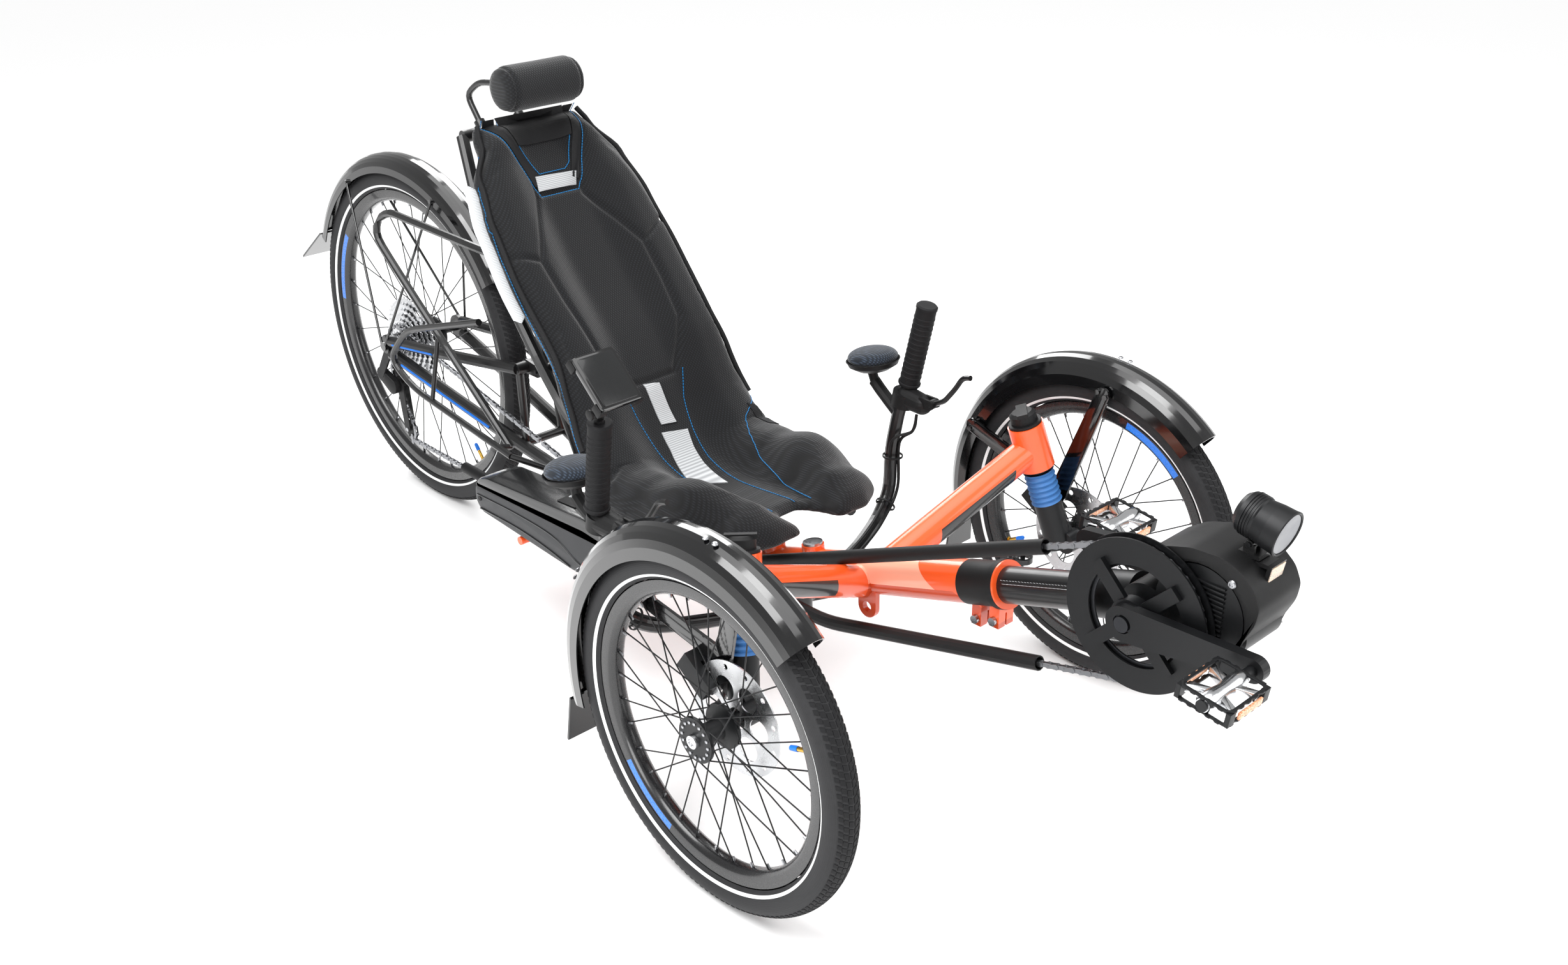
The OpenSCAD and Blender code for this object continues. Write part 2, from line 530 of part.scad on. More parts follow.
// ---- boom and motor ----
module boom_tube() color("#161618") placed() difference() {
    at_boom(56) cylinder(d = boom_d, h = 412, $fn = fine);
    at_boom(50) cylinder(d = boom_d - 5, h = 430, $fn = fine);
    cross_rod([452, 0, 470], 120, 100);
}
module motor_housing() color("#1d1d1f") placed() difference() {
    union() {
        cross_rod([450, 0, 470], 116, 84);
        cross_rod(bb, 70, 84);
        at_boom(32) cylinder(d = 62, h = 60, $fn = fine);
        cross_rod([486, 0, 452], 52, 74);
    }
    at_boom(55.5) cylinder(d = boom_d, h = 60, $fn = fine);
    cross_rod(bb, 24 + 2 * run, 120);
}
module motor_cover() color("#202022") placed() difference() {
    rotate([90, 0, 0]) linear_extrude(88, center = true) polygon([[352, 492], [372, 516], [400, 535],
        [432, 545], [470, 548], [494, 540], [514, 524], [525, 503], [522, 482], [510, 464], [503, 454],
        [498, 440]]);
    cross_rod([450, 0, 470], 117, 90);
    cross_rod([486, 0, 452], 53, 90);
    cross_rod(bb, 71, 90);
    both_sides() {
        translate([300, 38, 520]) rotate([-38, 0, 0]) cube([260, 40, 60]);
        translate([490, 45, 400]) rotate([0, 0, -35]) cube([80, 40, 200]);
    }
}
light_hinge = [484, 0, 556];
module light_bracket() color("#1d1d1f") placed() difference() {
    union() {
        translate([468, -12, 542]) cube([32, 24, 5]);
        for (y = [-9, 5]) translate([477, y, 546]) cube([14, 4, 10]);
        for (y = [-9, 5]) cross_rod([light_hinge[0], y + 2, light_hinge[2]], 10, 4);
        translate([496, -12, 536]) cube([16, 24, 5]);
        translate([508, -15, 511]) rotate([0, 10, 0]) cube([5, 30, 32]);
    }
    cross_rod(light_hinge, 6, 40);
}
module headlight_body() color("#151516") placed() {
    translate([466, 0, 592]) rotate([0, 102, 0]) difference() {
        rotate_extrude($fn = fine) polygon([[0, 0], [20, 0], [25, 6], [26, 24], [25, 26], [27, 40], [28, 58], [0, 58]]);
        translate([0, 0, 50]) cylinder(d = 50, h = 12, $fn = fine);
    }
    difference() {
        translate([479, -4.7, 552]) cube([10, 9.4, 20]);
        cross_rod(light_hinge, 6, 40);
    }
    cross_rod(light_hinge, 6 - 2 * run, 22);
}
module headlight_lens() color("#dfe6ea") placed() translate([466, 0, 592]) rotate([0, 102, 0])
    translate([0, 0, 50.2]) cylinder(d = 49.6, h = 4, $fn = fine);

// ---- cranks and pedals ----
crank_angle = 4.6;
function crank_end(y) = [bb_x + crank_length * cos(crank_angle), y, bb_z + crank_length * sin(crank_angle)];
module crank_spindle() color("#3c3d40") placed() {
    cross_rod(bb, 24, 164);
    cross_rod([bb_x, -84, bb_z], 20, 8);
    cross_rod([bb_x, 84, bb_z], 20, 8);
}
module crank_arm(y, spin) difference() {
    union() {
        translate(bb) rotate([0, spin, 0]) translate(-bb)
            link_plate([bb_x, y, bb_z], [bb_x + crank_length, y, bb_z], 46, 30, 14);
        translate(bb) rotate([0, spin, 0]) translate([crank_length, y + sign(y) * 55, 0])
            rotate([90, 0, 0]) cylinder(d = 14, h = 96, center = true, $fn = fine);
    }
    cross_rod([bb_x, y, bb_z], 24, 40);
}
module crank_arm_right() color("#1a1a1c") placed() {
    crank_arm(-79, -crank_angle);
    spider_y = -64.7;
    difference() {
        for (a = [45:90:315]) translate([bb_x, spider_y, bb_z]) rotate([0, a, 0])
            translate([10, -3.3, -9]) cube([68, 6.6, 18]);
        cross_rod([bb_x, spider_y, bb_z], 24, 40);
    }
    difference() {
        cross_rod([bb_x, -65, bb_z], 52, 16);
        cross_rod([bb_x, -65, bb_z], 24, 40);
    }
}
module crank_arm_left() color("#1a1a1c") placed() crank_arm(79, 180 - crank_angle);
module chainring() color("#2c2c2e") placed() translate([bb_x, chain_y, bb_z]) rotate([90, 0, 0])
    ring(ring_r - chain_h / 2 - eps, 62, 3);
module chain_guard() color("#161617") placed() {
    translate([bb_x, chain_y - 6, bb_z]) rotate([90, 0, 0]) ring(98, 66, 2.5);
    for (a = [45:90:315]) translate([bb_x, chain_y - 3.2, bb_z]) rotate([90, a, 0])
        translate([72, 0, 0]) cylinder(d = 10, h = 3.2, center = true, $fn = fine);
    translate([bb_x, chain_y + 6, bb_z]) rotate([90, 0, 0]) ring(100, 80, 2);
}
pedal_tilt = 8;
module pedal(y, spin) translate(bb) rotate([0, spin, 0]) translate([crank_length, y, 0])
    rotate([0, pedal_tilt - spin, 0]) difference() {
        union() {
            rotate([90, 0, 0]) cylinder(d = 24, h = 72, center = true, $fn = fine);
            cube([58, 22, 14], center = true);
            difference() {
                cube([68, 80, 20], center = true);
                cube([58, 70, 40], center = true);
                for (x = [-17, 17]) translate([x, 0, 0]) cube([24, 120, 11], center = true);
            }
            for (x = [-24, 24]) translate([x, 0, 0]) cube([6, 72, 6], center = true);
        }
        rotate([90, 0, 0]) cylinder(d = 14 + 2 * run, h = 120, center = true, $fn = fine);
    }
module pedal_right() color("#2b2b2d") placed() pedal(-142, -crank_angle);
module pedal_left() color("#2b2b2d") placed() pedal(142, 180 - crank_angle);

// ---- under-seat handlebar ----
bar_route = [[-250, 10, 175], [-264, 62, 176], [-292, 172, 190], [-318, 238, 200], [-330, 281, 236],
    [-331, 284, 310], [-328, 300, 385], grip_low, along(grip_low, grip_high, 0.97)];
module handlebar() color("#1a1a1c") placed() difference() {
    union() {
        both_sides() swept(bent(bar_route, 24), bar_d, 12);
        translate([steer_pivot[0], 0, 146]) cylinder(d = 38, h = 50, $fn = fine);
        hull() {
            translate([steer_pivot[0], 0, 146]) cylinder(d = 38, h = 7, $fn = 24);
            translate([tie_inner[0], 0, 146]) cylinder(d = 20, h = 7, $fn = 24);
            both_sides() translate([tie_inner[0], tie_inner[1], 146]) cylinder(d = 16, h = 7, $fn = 24);
        }
        both_sides() translate([tie_inner[0], tie_inner[1], 133]) cylinder(d = 8, h = 18, $fn = fine);
    }
    translate([steer_pivot[0], 0, 120]) cylinder(d = 12, h = 100, $fn = fine);
}
module grips() color("#232325") placed() both_sides() difference() {
    rod(grip_low, along(grip_low, grip_high, 1.02), 33);
    rod(along(grip_low, grip_high, -0.05), along(grip_low, grip_high, 0.972), bar_d + 0.4);
}
palm_at = [-390, 300, 447];
module palm_pads() color("#2a2d33") placed() both_sides() translate(palm_at) rotate([0, -8, 0])
    intersection() {
        translate([0, 0, -52]) sphere(r = 74, $fn = fine);
        translate([0, 0, -14]) cylinder(d = 92, h = 60, $fn = fine);
    }
lever_pivot = [-262, 304, 404];
module bar_fittings() color("#1c1c1e") placed() {
    rod(left_right(along(grip_low, grip_high, 1.03)), [-292, -321.5, 563], 14);
    both_sides() {
        rod([-392, 298, 431], [-384, 300, 408], 16);
        swept(bent([[-386, 300, 410], [-372, 300, 398], [-329, 297, 370]], 8), 20);
        difference() {
            union() {
                translate([-324, 306, 396]) rotate([0, 12, 0]) cylinder(d = 42, h = 24, center = true, $fn = fine);
                hull() {
                    translate([-322, 308, 398]) sphere(d = 38, $fn = 20);
                    translate([-286, 306, 396]) sphere(d = 34, $fn = 20);
                }
                for (y = [-7.5, 7.5]) {
                    cross_rod([lever_pivot[0], lever_pivot[1] + y, lever_pivot[2]], 16, 4);
                    translate([-284, lever_pivot[1] + y - 2, lever_pivot[2] - 8]) cube([22, 4, 16]);
                }
            }
            cross_rod(lever_pivot, 18, 11);
            cross_rod(lever_pivot, 6, 40);
            rod(along(bar_route[6], grip_low, -1), along(bar_route[6], grip_low, 2), bar_d + 0.4);
        }
    }
}
module brake_lever() {
    difference() {
        union() {
            cross_rod(lever_pivot, 15, 10.4);
            swept(bent([[-258, 304, 406], [-238, 303, 416], [-214, 302, 446], [-200, 301, 468], [-184, 300, 472]], 10),
                9, 8);
        }
        cross_rod(lever_pivot, 5, 40);
    }
    cross_rod(lever_pivot, 6 - 2 * run, 19);
}
module brake_lever_left() color("#2a2a2c") sided(true) brake_lever();
module brake_lever_right() color("#2a2a2c") sided(false) brake_lever();

// display on a ball joint above the right grip
display_joint = [-291, -322, 573];
module display_unit() color("#1b1c1e") placed() {
    translate(display_joint) sphere(d = 18, $fn = 32);
    cross_rod(display_joint, 8, 22);
    rod(display_joint, [-280, -322, 604], 12);
    translate([-270, -322, 624]) rotate([0, 42, 0]) cube([78, 62, 14], center = true);
}

// ---- rear end ----
module swingarm() color("#161618") placed() {
    low_stay = bent([[-1266, 78, 316], [-940, 52, 246], [-800, 36, 215]], 30);
    high_stay = bent([[-1268, 78, 340], [-1090, 70, 362], [-915, 36, 374]], 30);
    difference() {
        both_sides() {
            swept(low_stay, 24, 12);
            swept(high_stay, 20, 12);
            cross_rod([rear_axle[0], 76, rear_axle[2]], 48, 7);
            cross_rod([swing_pivot[0], 34, swing_pivot[2]], 38, 23);
            rod([-902, 38, 240], [-914, 33, 372], 14);
        }
        cross_rod(swing_pivot, 70, 57);
    }
    cross_rod([-915, 0, 374], 22, 78);
    cross_rod([-902, 0, 240], 16, 88);
    for (y = [-15, 15]) link_plate([-915, y, 374], [shock_eye[0], y, shock_eye[2]], 26, 22, 6);
    cross_rod(shock_eye, 8, 44);
    cross_rod(rear_axle, 12, 168);
    both_sides() cross_rod([rear_axle[0], 82.5, rear_axle[2]], 22, 5);
    cross_rod(swing_pivot, 16, 94);
}
module rear_fender() color("#0b0b0c") placed() {
    on_axle(rear_axle) {
        fender_shell(rear_fender_r, 30, 34, 32, 124);
        mudflap(rear_fender_r, 156, rear_fender_r + 50, 13);
    }
    both_sides() {
        rod([-1286, 87.6, 334], [-1448, 31, 600], 5);
        rod([-1274, 87.6, 334], [-1150, 31, 622], 5);
        cross_rod([-1280, 87.6, 330], 18, 4);
        for (p = [[-1448, 600], [-1150, 622]]) cross_rod([p[0], 31, p[1]], 8, 8);
    }
}
module derailleur() color("#2a2b2d") placed() {
    link_plate([-1284, -79.5, 312], [-1318, -79.5, 262], 20, 18, 4);
    hull() {
        translate([-1318, -76, 262]) rotate([90, 0, 0]) cylinder(d = 26, h = 10, center = true, $fn = 24);
        translate([-1300, -67, 240]) rotate([90, 0, 0]) cylinder(d = 34, h = 10, center = true, $fn = 24);
    }
    for (y = [-6, 6]) hull() {
        translate([guide_pulley[0] + 12, chain_y + y, guide_pulley[2] - 16]) rotate([90, 0, 0])
            cylinder(d = 22, h = 1.6, center = true, $fn = 24);
        translate([tension_pulley[0], chain_y + y, tension_pulley[2] + 6]) rotate([90, 0, 0])
            cylinder(d = 18, h = 1.6, center = true, $fn = 24);
    }
    cross_rod([guide_pulley[0] + 12, chain_y, guide_pulley[2] - 16], 14, 10);
}
module shock_axis() translate(shock_lug)
    rotate([0, atan2(shock_eye[0] - shock_lug[0], shock_eye[2] - shock_lug[2]), 0]) children();
shock_len = norm(shock_eye - shock_lug);
module shock_body() color("#202022") placed() difference() {
    union() {
        cross_rod(shock_lug, 22, 24);
        shock_axis() translate([0, 0, 8]) cylinder(d = 23, h = 18, $fn = fine);
        shock_axis() translate([0, 0, 25]) cylinder(d = 42, h = 91, $fn = fine);
    }
    shock_axis() translate([0, 0, 60]) cylinder(d = 20 + 2 * run, h = 80, $fn = fine);
    cross_rod(shock_lug, 10, 60);
}
module shock_shaft() color("#b8b8ba") placed() difference() {
    union() {
        shock_axis() translate([0, 0, 94]) cylinder(d = 20, h = shock_len - 104, $fn = fine);
        cross_rod(shock_eye, 24, 22);
    }
    cross_rod(shock_eye, 13, 60);
}

main_frame();
frame_fittings();
seat_frame();
seat_back_pad();
seat_base_pad();
battery_pack();
rack();
chain_tubes();
idler_pulley();
boom_tube();
motor_housing();
motor_cover();
light_bracket();
chain_front();
headlight_body();
headlight_lens();
crank_spindle();
crank_arm_right();
crank_arm_left();
chainring();
chain_guard();
pedal_right();
pedal_left();
handlebar();
grips();
palm_pads();
bar_fittings();
brake_lever_right();
brake_lever_left();
display_unit();
tie_rod_right();
tie_rod_left();
kingpin_right();
kingpin_left();
bellows_right();
bellows_left();
knuckle_right();
knuckle_left();
fender_right();
fender_left();
tyre_right();
tyre_left();
spoked_wheel_right();
spoked_wheel_left();
rotor_right();
rotor_left();
headrest_pad();
headrest_posts();
chain_middle();
chain_tube_rear();
swingarm();
rear_fender();
derailleur();
chain_rear();
rear_tyre();
rear_spoked_wheel();
cassette();
shock_body();
shock_shaft();
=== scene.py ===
"""Looks of a recumbent adult tricycle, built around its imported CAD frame."""

import json
import logging
import math
from collections.abc import Sequence
from dataclasses import dataclass, field
from enum import Enum

import bmesh
import bpy
from mathutils import Matrix, Vector
from mathutils.bvhtree import BVHTree


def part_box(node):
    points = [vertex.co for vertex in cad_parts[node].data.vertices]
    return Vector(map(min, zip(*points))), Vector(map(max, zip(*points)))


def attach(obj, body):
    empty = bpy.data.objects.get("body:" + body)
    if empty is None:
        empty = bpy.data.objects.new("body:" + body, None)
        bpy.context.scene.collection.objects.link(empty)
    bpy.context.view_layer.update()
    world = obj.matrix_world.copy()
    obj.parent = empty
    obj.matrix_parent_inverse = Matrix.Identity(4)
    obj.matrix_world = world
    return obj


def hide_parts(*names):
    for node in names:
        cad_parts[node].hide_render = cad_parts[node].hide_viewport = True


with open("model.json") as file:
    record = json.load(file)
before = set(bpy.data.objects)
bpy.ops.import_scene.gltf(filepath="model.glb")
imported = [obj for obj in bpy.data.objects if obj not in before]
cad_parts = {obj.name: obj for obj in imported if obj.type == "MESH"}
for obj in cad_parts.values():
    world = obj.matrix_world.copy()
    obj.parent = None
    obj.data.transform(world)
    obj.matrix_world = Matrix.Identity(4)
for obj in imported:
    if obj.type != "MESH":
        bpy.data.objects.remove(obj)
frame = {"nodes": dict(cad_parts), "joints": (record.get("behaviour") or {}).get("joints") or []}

log = logging.getLogger("tricycle")
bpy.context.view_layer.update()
MM = 0.001
JOINTS: dict[str, dict] = {j["name"]: j for j in frame["joints"]}
FRONT_AXLE_X: float = JOINTS["wheel_left_spin"]["pos_m"][0]
SIDES = {-1: "right", 1: "left"}
TYRE_SECTION = 47  # width and height of every tyre, in millimetres
BOOM_BACK = (-0.9505, 0, -0.3107)  # direction from the cranks down the boom
LAMP_AHEAD = (0.978, 0, -0.208)  # direction that the headlight points at rest
Point = tuple[float, float, float]


def at(x: float, y: float, z: float) -> Vector:
    """Point given in millimetres from the front axle line, in the row's metres."""
    return Vector((FRONT_AXLE_X + x * MM, y * MM, z * MM))


def joint_at(name: str) -> Vector:
    """Place of a joint at rest, in metres."""
    return Vector(JOINTS[name]["pos_m"])


def linear(colour: str) -> tuple[float, float, float, float]:
    """Linear colour of an sRGB hex value such as #1A2B3C."""
    parts = [int(colour[i : i + 2], 16) / 255 for i in (1, 3, 5)]
    steps = [c / 12.92 if c <= 0.04045 else ((c + 0.055) / 1.055) ** 2.4 for c in parts]
    return (steps[0], steps[1], steps[2], 1.0)


def add(tree: bpy.types.NodeTree, kind: str, links: dict | None = None, **settings: object) -> bpy.types.Node:
    """Adds a node with its settings and links.

    Args:
        tree: the node tree that takes the node.
        kind: the node's type name.
        links: input name or index to a socket of another node or to a plain value.
        settings: properties of the node itself.

    Returns:
        The new node.
    """
    node = tree.nodes.new(kind)
    for key, value in settings.items():
        setattr(node, key, value)
    for key, value in (links or {}).items():
        if isinstance(value, bpy.types.NodeSocket):
            tree.links.new(value, node.inputs[key])
        else:
            node.inputs[key].default_value = value
    return node


def sums(tree: bpy.types.NodeTree, operation: str, a: object, b: object = 0.0) -> bpy.types.NodeSocket:
    """Output of a maths node on two sockets or numbers."""
    return add(tree, "ShaderNodeMath", {0: a, 1: b}, operation=operation).outputs[0]


# ---------------------------------------------------------------- finishes


@dataclass(frozen=True)
class Finish:
    """A finish with one colour, whose grain is drawn by its subclasses."""

    name: str
    colour: str
    roughness: float = 0.5
    metallic: float = 0.0
    coat: float = 0.0

    def material(self) -> bpy.types.Material:
        """The Blender material of this finish, made once."""
        found = bpy.data.materials.get(self.name)
        if found:
            return found
        made = bpy.data.materials.new(self.name)
        made.use_nodes = True
        tree = made.node_tree
        shader = tree.nodes["Principled BSDF"]
        shader.inputs["Base Color"].default_value = linear(self.colour)
        shader.inputs["Roughness"].default_value = self.roughness
        shader.inputs["Metallic"].default_value = self.metallic
        shader.inputs["Coat Weight"].default_value = self.coat
        shader.inputs["Coat Roughness"].default_value = 0.06
        if not self.metallic and not self.coat:
            shader.inputs["Specular IOR Level"].default_value = 0.3
        place = add(tree, "ShaderNodeTexCoord").outputs["Object"]
        self.pattern(tree, shader, place)
        return made

    def pattern(self, tree: bpy.types.NodeTree, shader: bpy.types.Node, place: bpy.types.NodeSocket) -> None:
        """Draws the grain: a slight unevenness of colour and gloss."""
        noise = self.noise(tree, place, 60.0)
        self.vary(tree, shader, noise, 0.12)

    def noise(self, tree: bpy.types.NodeTree, place: object, scale: float, detail: float = 3.0) -> object:
        """Noise of so many cycles a metre."""
        return add(tree, "ShaderNodeTexNoise", {"Vector": place, "Scale": scale, "Detail": detail}).outputs["Fac"]

    def vary(self, tree: bpy.types.NodeTree, shader: bpy.types.Node, noise: object, spread: float) -> None:
        """Lets noise move the roughness up and down by a spread."""
        swing = sums(tree, "MULTIPLY_ADD", noise, spread * 2)
        swing.node.inputs[2].default_value = self.roughness - spread
        tree.links.new(swing, shader.inputs["Roughness"])

    def bump(self, tree: bpy.types.NodeTree, shader: bpy.types.Node, height: object, depth_mm: float,
             strength: float = 0.6) -> None:
        """Adds relief of so many millimetres to the surface."""
        node = add(tree, "ShaderNodeBump", {"Height": height, "Distance": depth_mm * MM, "Strength": strength})
        tree.links.new(node.outputs[0], shader.inputs["Normal"])

    def mix(self, tree: bpy.types.NodeTree, mask: object, under: object, over: object) -> object:
        """Colour that is over where the mask is 1 and under elsewhere."""
        node = add(tree, "ShaderNodeMix", data_type="RGBA")
        for socket, value in ((node.inputs[0], mask), (node.inputs[6], under), (node.inputs[7], over)):
            if isinstance(value, bpy.types.NodeSocket):
                tree.links.new(value, socket)
            else:
                socket.default_value = value
        return node.outputs[2]

    def local(self, tree: bpy.types.NodeTree, place: object, centre: Vector,
              turn: Sequence[float] = (0, 0, 0)) -> object:
        """Object coordinates moved and turned on to a piece, in metres."""
        node = add(tree, "ShaderNodeMapping", {"Vector": place, "Rotation": turn}, vector_type="TEXTURE")
        node.inputs["Location"].default_value = centre
        return node.outputs[0]

    def band(self, tree: bpy.types.NodeTree, value: object, middle: float, half: float) -> object:
        """1 where a value is within half of the middle."""
        return add(tree, "ShaderNodeMath", {0: value, 1: middle, 2: half}, operation="COMPARE").outputs[0]


@dataclass(frozen=True)
class PowderCoat(Finish):
    """Baked polyester powder on aluminium: an even satin skin with a 0.8 mm orange peel."""

    peel_mm: float = 0.8

    def pattern(self, tree: bpy.types.NodeTree, shader: bpy.types.Node, place: bpy.types.NodeSocket) -> None:
        """Fine peel and a slow drift of the gloss."""
        self.vary(tree, shader, self.noise(tree, place, 25.0), 0.08)
        self.bump(tree, shader, self.noise(tree, place, 1000 / self.peel_mm / 2), 0.03, 0.5)


@dataclass(frozen=True)
class FramePaint(PowderCoat):
    """Orange powder coat under clear lacquer, with black panels laid under the lacquer, a painted highlight on
    top of the main tube and painted shade on its underside.
    """

    # Darker orange of the painted shade on the underside of the main tube.
    painted_underside_shade: str = "#C9410F"
    panel: str = "#0D0D0E"
    # Pale orange of the painted highlight on the top of the main tube.
    painted_top_highlight: str = "#F6A78C"

    def pattern(self, tree: bpy.types.NodeTree, shader: bpy.types.Node, place: bpy.types.NodeSocket) -> None:
        """Painted highlight on the top of the main tube, painted shade under it, and panels on the cross arms."""
        PowderCoat.pattern(self, tree, shader, place)
        slope = math.radians(18.1)
        tube = self.local(tree, place, at(60, 0, 335.7), (0, -slope, 0))
        along, across, height = (add(tree, "ShaderNodeSeparateXYZ", {0: tube}).outputs[i] for i in range(3))
        # Painted highlight: a pale slanting band across the main tube, left showing on its top half only, since
        # the painted shade below covers its lower half.
        on_tube = self.band(tree, across, 0.0, 0.034)
        edge = sums(tree, "ADD", along, sums(tree, "MULTIPLY", height, 1.2))
        colour = self.mix(tree, sums(tree, "MULTIPLY", on_tube, self.band(tree, edge, -0.085, 0.062)),
                          linear(self.colour), linear(self.painted_top_highlight))
        # Painted shade: the lower half of the main tube, all round, darker orange along about 40 cm of its
        # length.
        low = sums(tree, "LESS_THAN", height, -0.004)
        side = sums(tree, "MULTIPLY", on_tube, sums(tree, "MULTIPLY", low, self.band(tree, edge, -0.19, 0.20)))
        colour = self.mix(tree, side, colour, linear(self.painted_underside_shade))
        for hand in (1, -1):
            arm = self.local(tree, place, at(-74, hand * 165, 336), (0, 0, hand * math.radians(79)))
            run, _, rise = (add(tree, "ShaderNodeSeparateXYZ", {0: arm}).outputs[i] for i in range(3))
            level = sums(tree, "SUBTRACT", rise, sums(tree, "MULTIPLY", run, 0.43))
            inside = sums(tree, "MULTIPLY", self.band(tree, run, 0.012, 0.068),
                          self.band(tree, level, 0.003, 0.013))
            colour = self.mix(tree, inside, colour, linear(self.panel))
        tree.links.new(colour, shader.inputs["Base Color"])


@dataclass(frozen=True)
class Moulded(Finish):
    """Glass-filled nylon from an etched mould: a fine pebble of about a millimetre."""

    grain_mm: float = 1.1

    def pattern(self, tree: bpy.types.NodeTree, shader: bpy.types.Node, place: bpy.types.NodeSocket) -> None:
        """Etched pebble and slightly uneven gloss."""
        self.vary(tree, shader, self.noise(tree, place, 40.0), 0.07)
        cells = add(tree, "ShaderNodeTexVoronoi",
                    {"Vector": place, "Scale": 1000 / self.grain_mm}).outputs["Distance"]
        self.bump(tree, shader, cells, 0.08, 0.45)


@dataclass(frozen=True)
class Gloss(Finish):
    """High-gloss ABS: a deep mirror with the faint waviness of a blow-moulded shell."""

    def pattern(self, tree: bpy.types.NodeTree, shader: bpy.types.Node, place: bpy.types.NodeSocket) -> None:
        """Long shallow waves of the shell and fine dust in the gloss."""
        self.vary(tree, shader, self.noise(tree, place, 180.0, 6.0), 0.03)
        self.bump(tree, shader, self.noise(tree, place, 14.0, 1.0), 0.25, 0.25)


@dataclass(frozen=True)
class Metal(Finish):
    """Turned or brushed metal: bright, with fine lines across the tool's path."""

    lines_mm: float = 0.7

    def pattern(self, tree: bpy.types.NodeTree, shader: bpy.types.Node, place: bpy.types.NodeSocket) -> None:
        """Fine scratches stretched along the height, and soft blotches of handling."""
        thin = add(tree, "ShaderNodeMapping", {"Vector": place, "Scale": (1.0, 1.0, 0.08)}).outputs[0]
        scratches = self.noise(tree, thin, 1000 / self.lines_mm)
        self.vary(tree, shader, self.noise(tree, place, 90.0), 0.10)
        self.bump(tree, shader, scratches, 0.02, 0.35)


@dataclass(frozen=True)
class SpacerMesh(Finish):
    """Knitted polyester spacer mesh: rows of small diamond holes, drawn 3.4 mm apart so that they show."""

    pitch_mm: float = 3.4
    thread: str = "#1B1D21"

    def pattern(self, tree: bpy.types.NodeTree, shader: bpy.types.Node, place: bpy.types.NodeSocket) -> None:
        """Two families of slanting threads over a dark core."""
        turned = []
        for angle in (38, -38):
            node = add(tree, "ShaderNodeMapping", {"Vector": place, "Rotation": (math.radians(angle), 0.4, 0.0)})
            wave = add(tree, "ShaderNodeTexWave", {"Vector": node.outputs[0], "Scale": 314 / self.pitch_mm},
                       bands_direction="Y")
            turned.append(wave.outputs["Fac"])
        knit = sums(tree, "MULTIPLY", *turned)
        fuzz = self.noise(tree, place, 900.0)
        depth = sums(tree, "MULTIPLY_ADD", knit, 0.85)
        tree.links.new(sums(tree, "MULTIPLY", fuzz, 0.15), depth.node.inputs[2])
        tree.links.new(self.mix(tree, depth, linear(self.colour), linear(self.thread)),
                       shader.inputs["Base Color"])
        shader.inputs["Sheen Weight"].default_value = 0.22
        shader.inputs["Sheen Roughness"].default_value = 0.5
        shader.inputs["Specular IOR Level"].default_value = 0.25
        self.bump(tree, shader, depth, 0.7, 0.7)


@dataclass(frozen=True)
class Webbing(Finish):
    """Woven polyester webbing: flat ribs 1.6 mm apart across the strap."""

    rib_mm: float = 1.6

    def pattern(self, tree: bpy.types.NodeTree, shader: bpy.types.Node, place: bpy.types.NodeSocket) -> None:
        """Ribs across, with the sheen of twisted yarn."""
        wave = add(tree, "ShaderNodeTexWave", {"Vector": place, "Scale": 314 / self.rib_mm}, bands_direction="Z")
        dark = tuple(c * 0.55 for c in linear(self.colour)[:3]) + (1.0,)
        tree.links.new(self.mix(tree, wave.outputs["Fac"], dark, linear(self.colour)),
                       shader.inputs["Base Color"])
        self.bump(tree, shader, wave.outputs["Fac"], 0.3, 0.6)


@dataclass(frozen=True)
class TyreRubber(Finish):
    """Vulcanised rubber, dull from use, with the white reflecting line and fine moulding rings on its wall."""

    centre: tuple[float, float, float] = (0, 0, 0)
    line_r: float = 0.214
    line_half: float = 0.0016
    line: str = "#E9EAEA"

    def pattern(self, tree: bpy.types.NodeTree, shader: bpy.types.Node, place: bpy.types.NodeSocket) -> None:
        """A line and rings by the distance from the axle, and speckles of dust."""
        wheel = self.local(tree, place, Vector(self.centre))
        x, _, z = (add(tree, "ShaderNodeSeparateXYZ", {0: wheel}).outputs[i] for i in range(3))
        radius = sums(tree, "SQRT", sums(tree, "ADD", sums(tree, "MULTIPLY", x, x), sums(tree, "MULTIPLY", z, z)))
        ring = self.band(tree, radius, self.line_r, self.line_half)
        dust = self.noise(tree, place, 130.0, 6.0)
        rubber = self.mix(tree, dust, linear(self.colour), linear("#2A2A2C"))
        tree.links.new(self.mix(tree, ring, rubber, linear(self.line)), shader.inputs["Base Color"])
        rings = sums(tree, "SINE", sums(tree, "MULTIPLY", radius, 2600.0))
        self.vary(tree, shader, dust, 0.08)
        self.bump(tree, shader, rings, 0.12, 0.35)


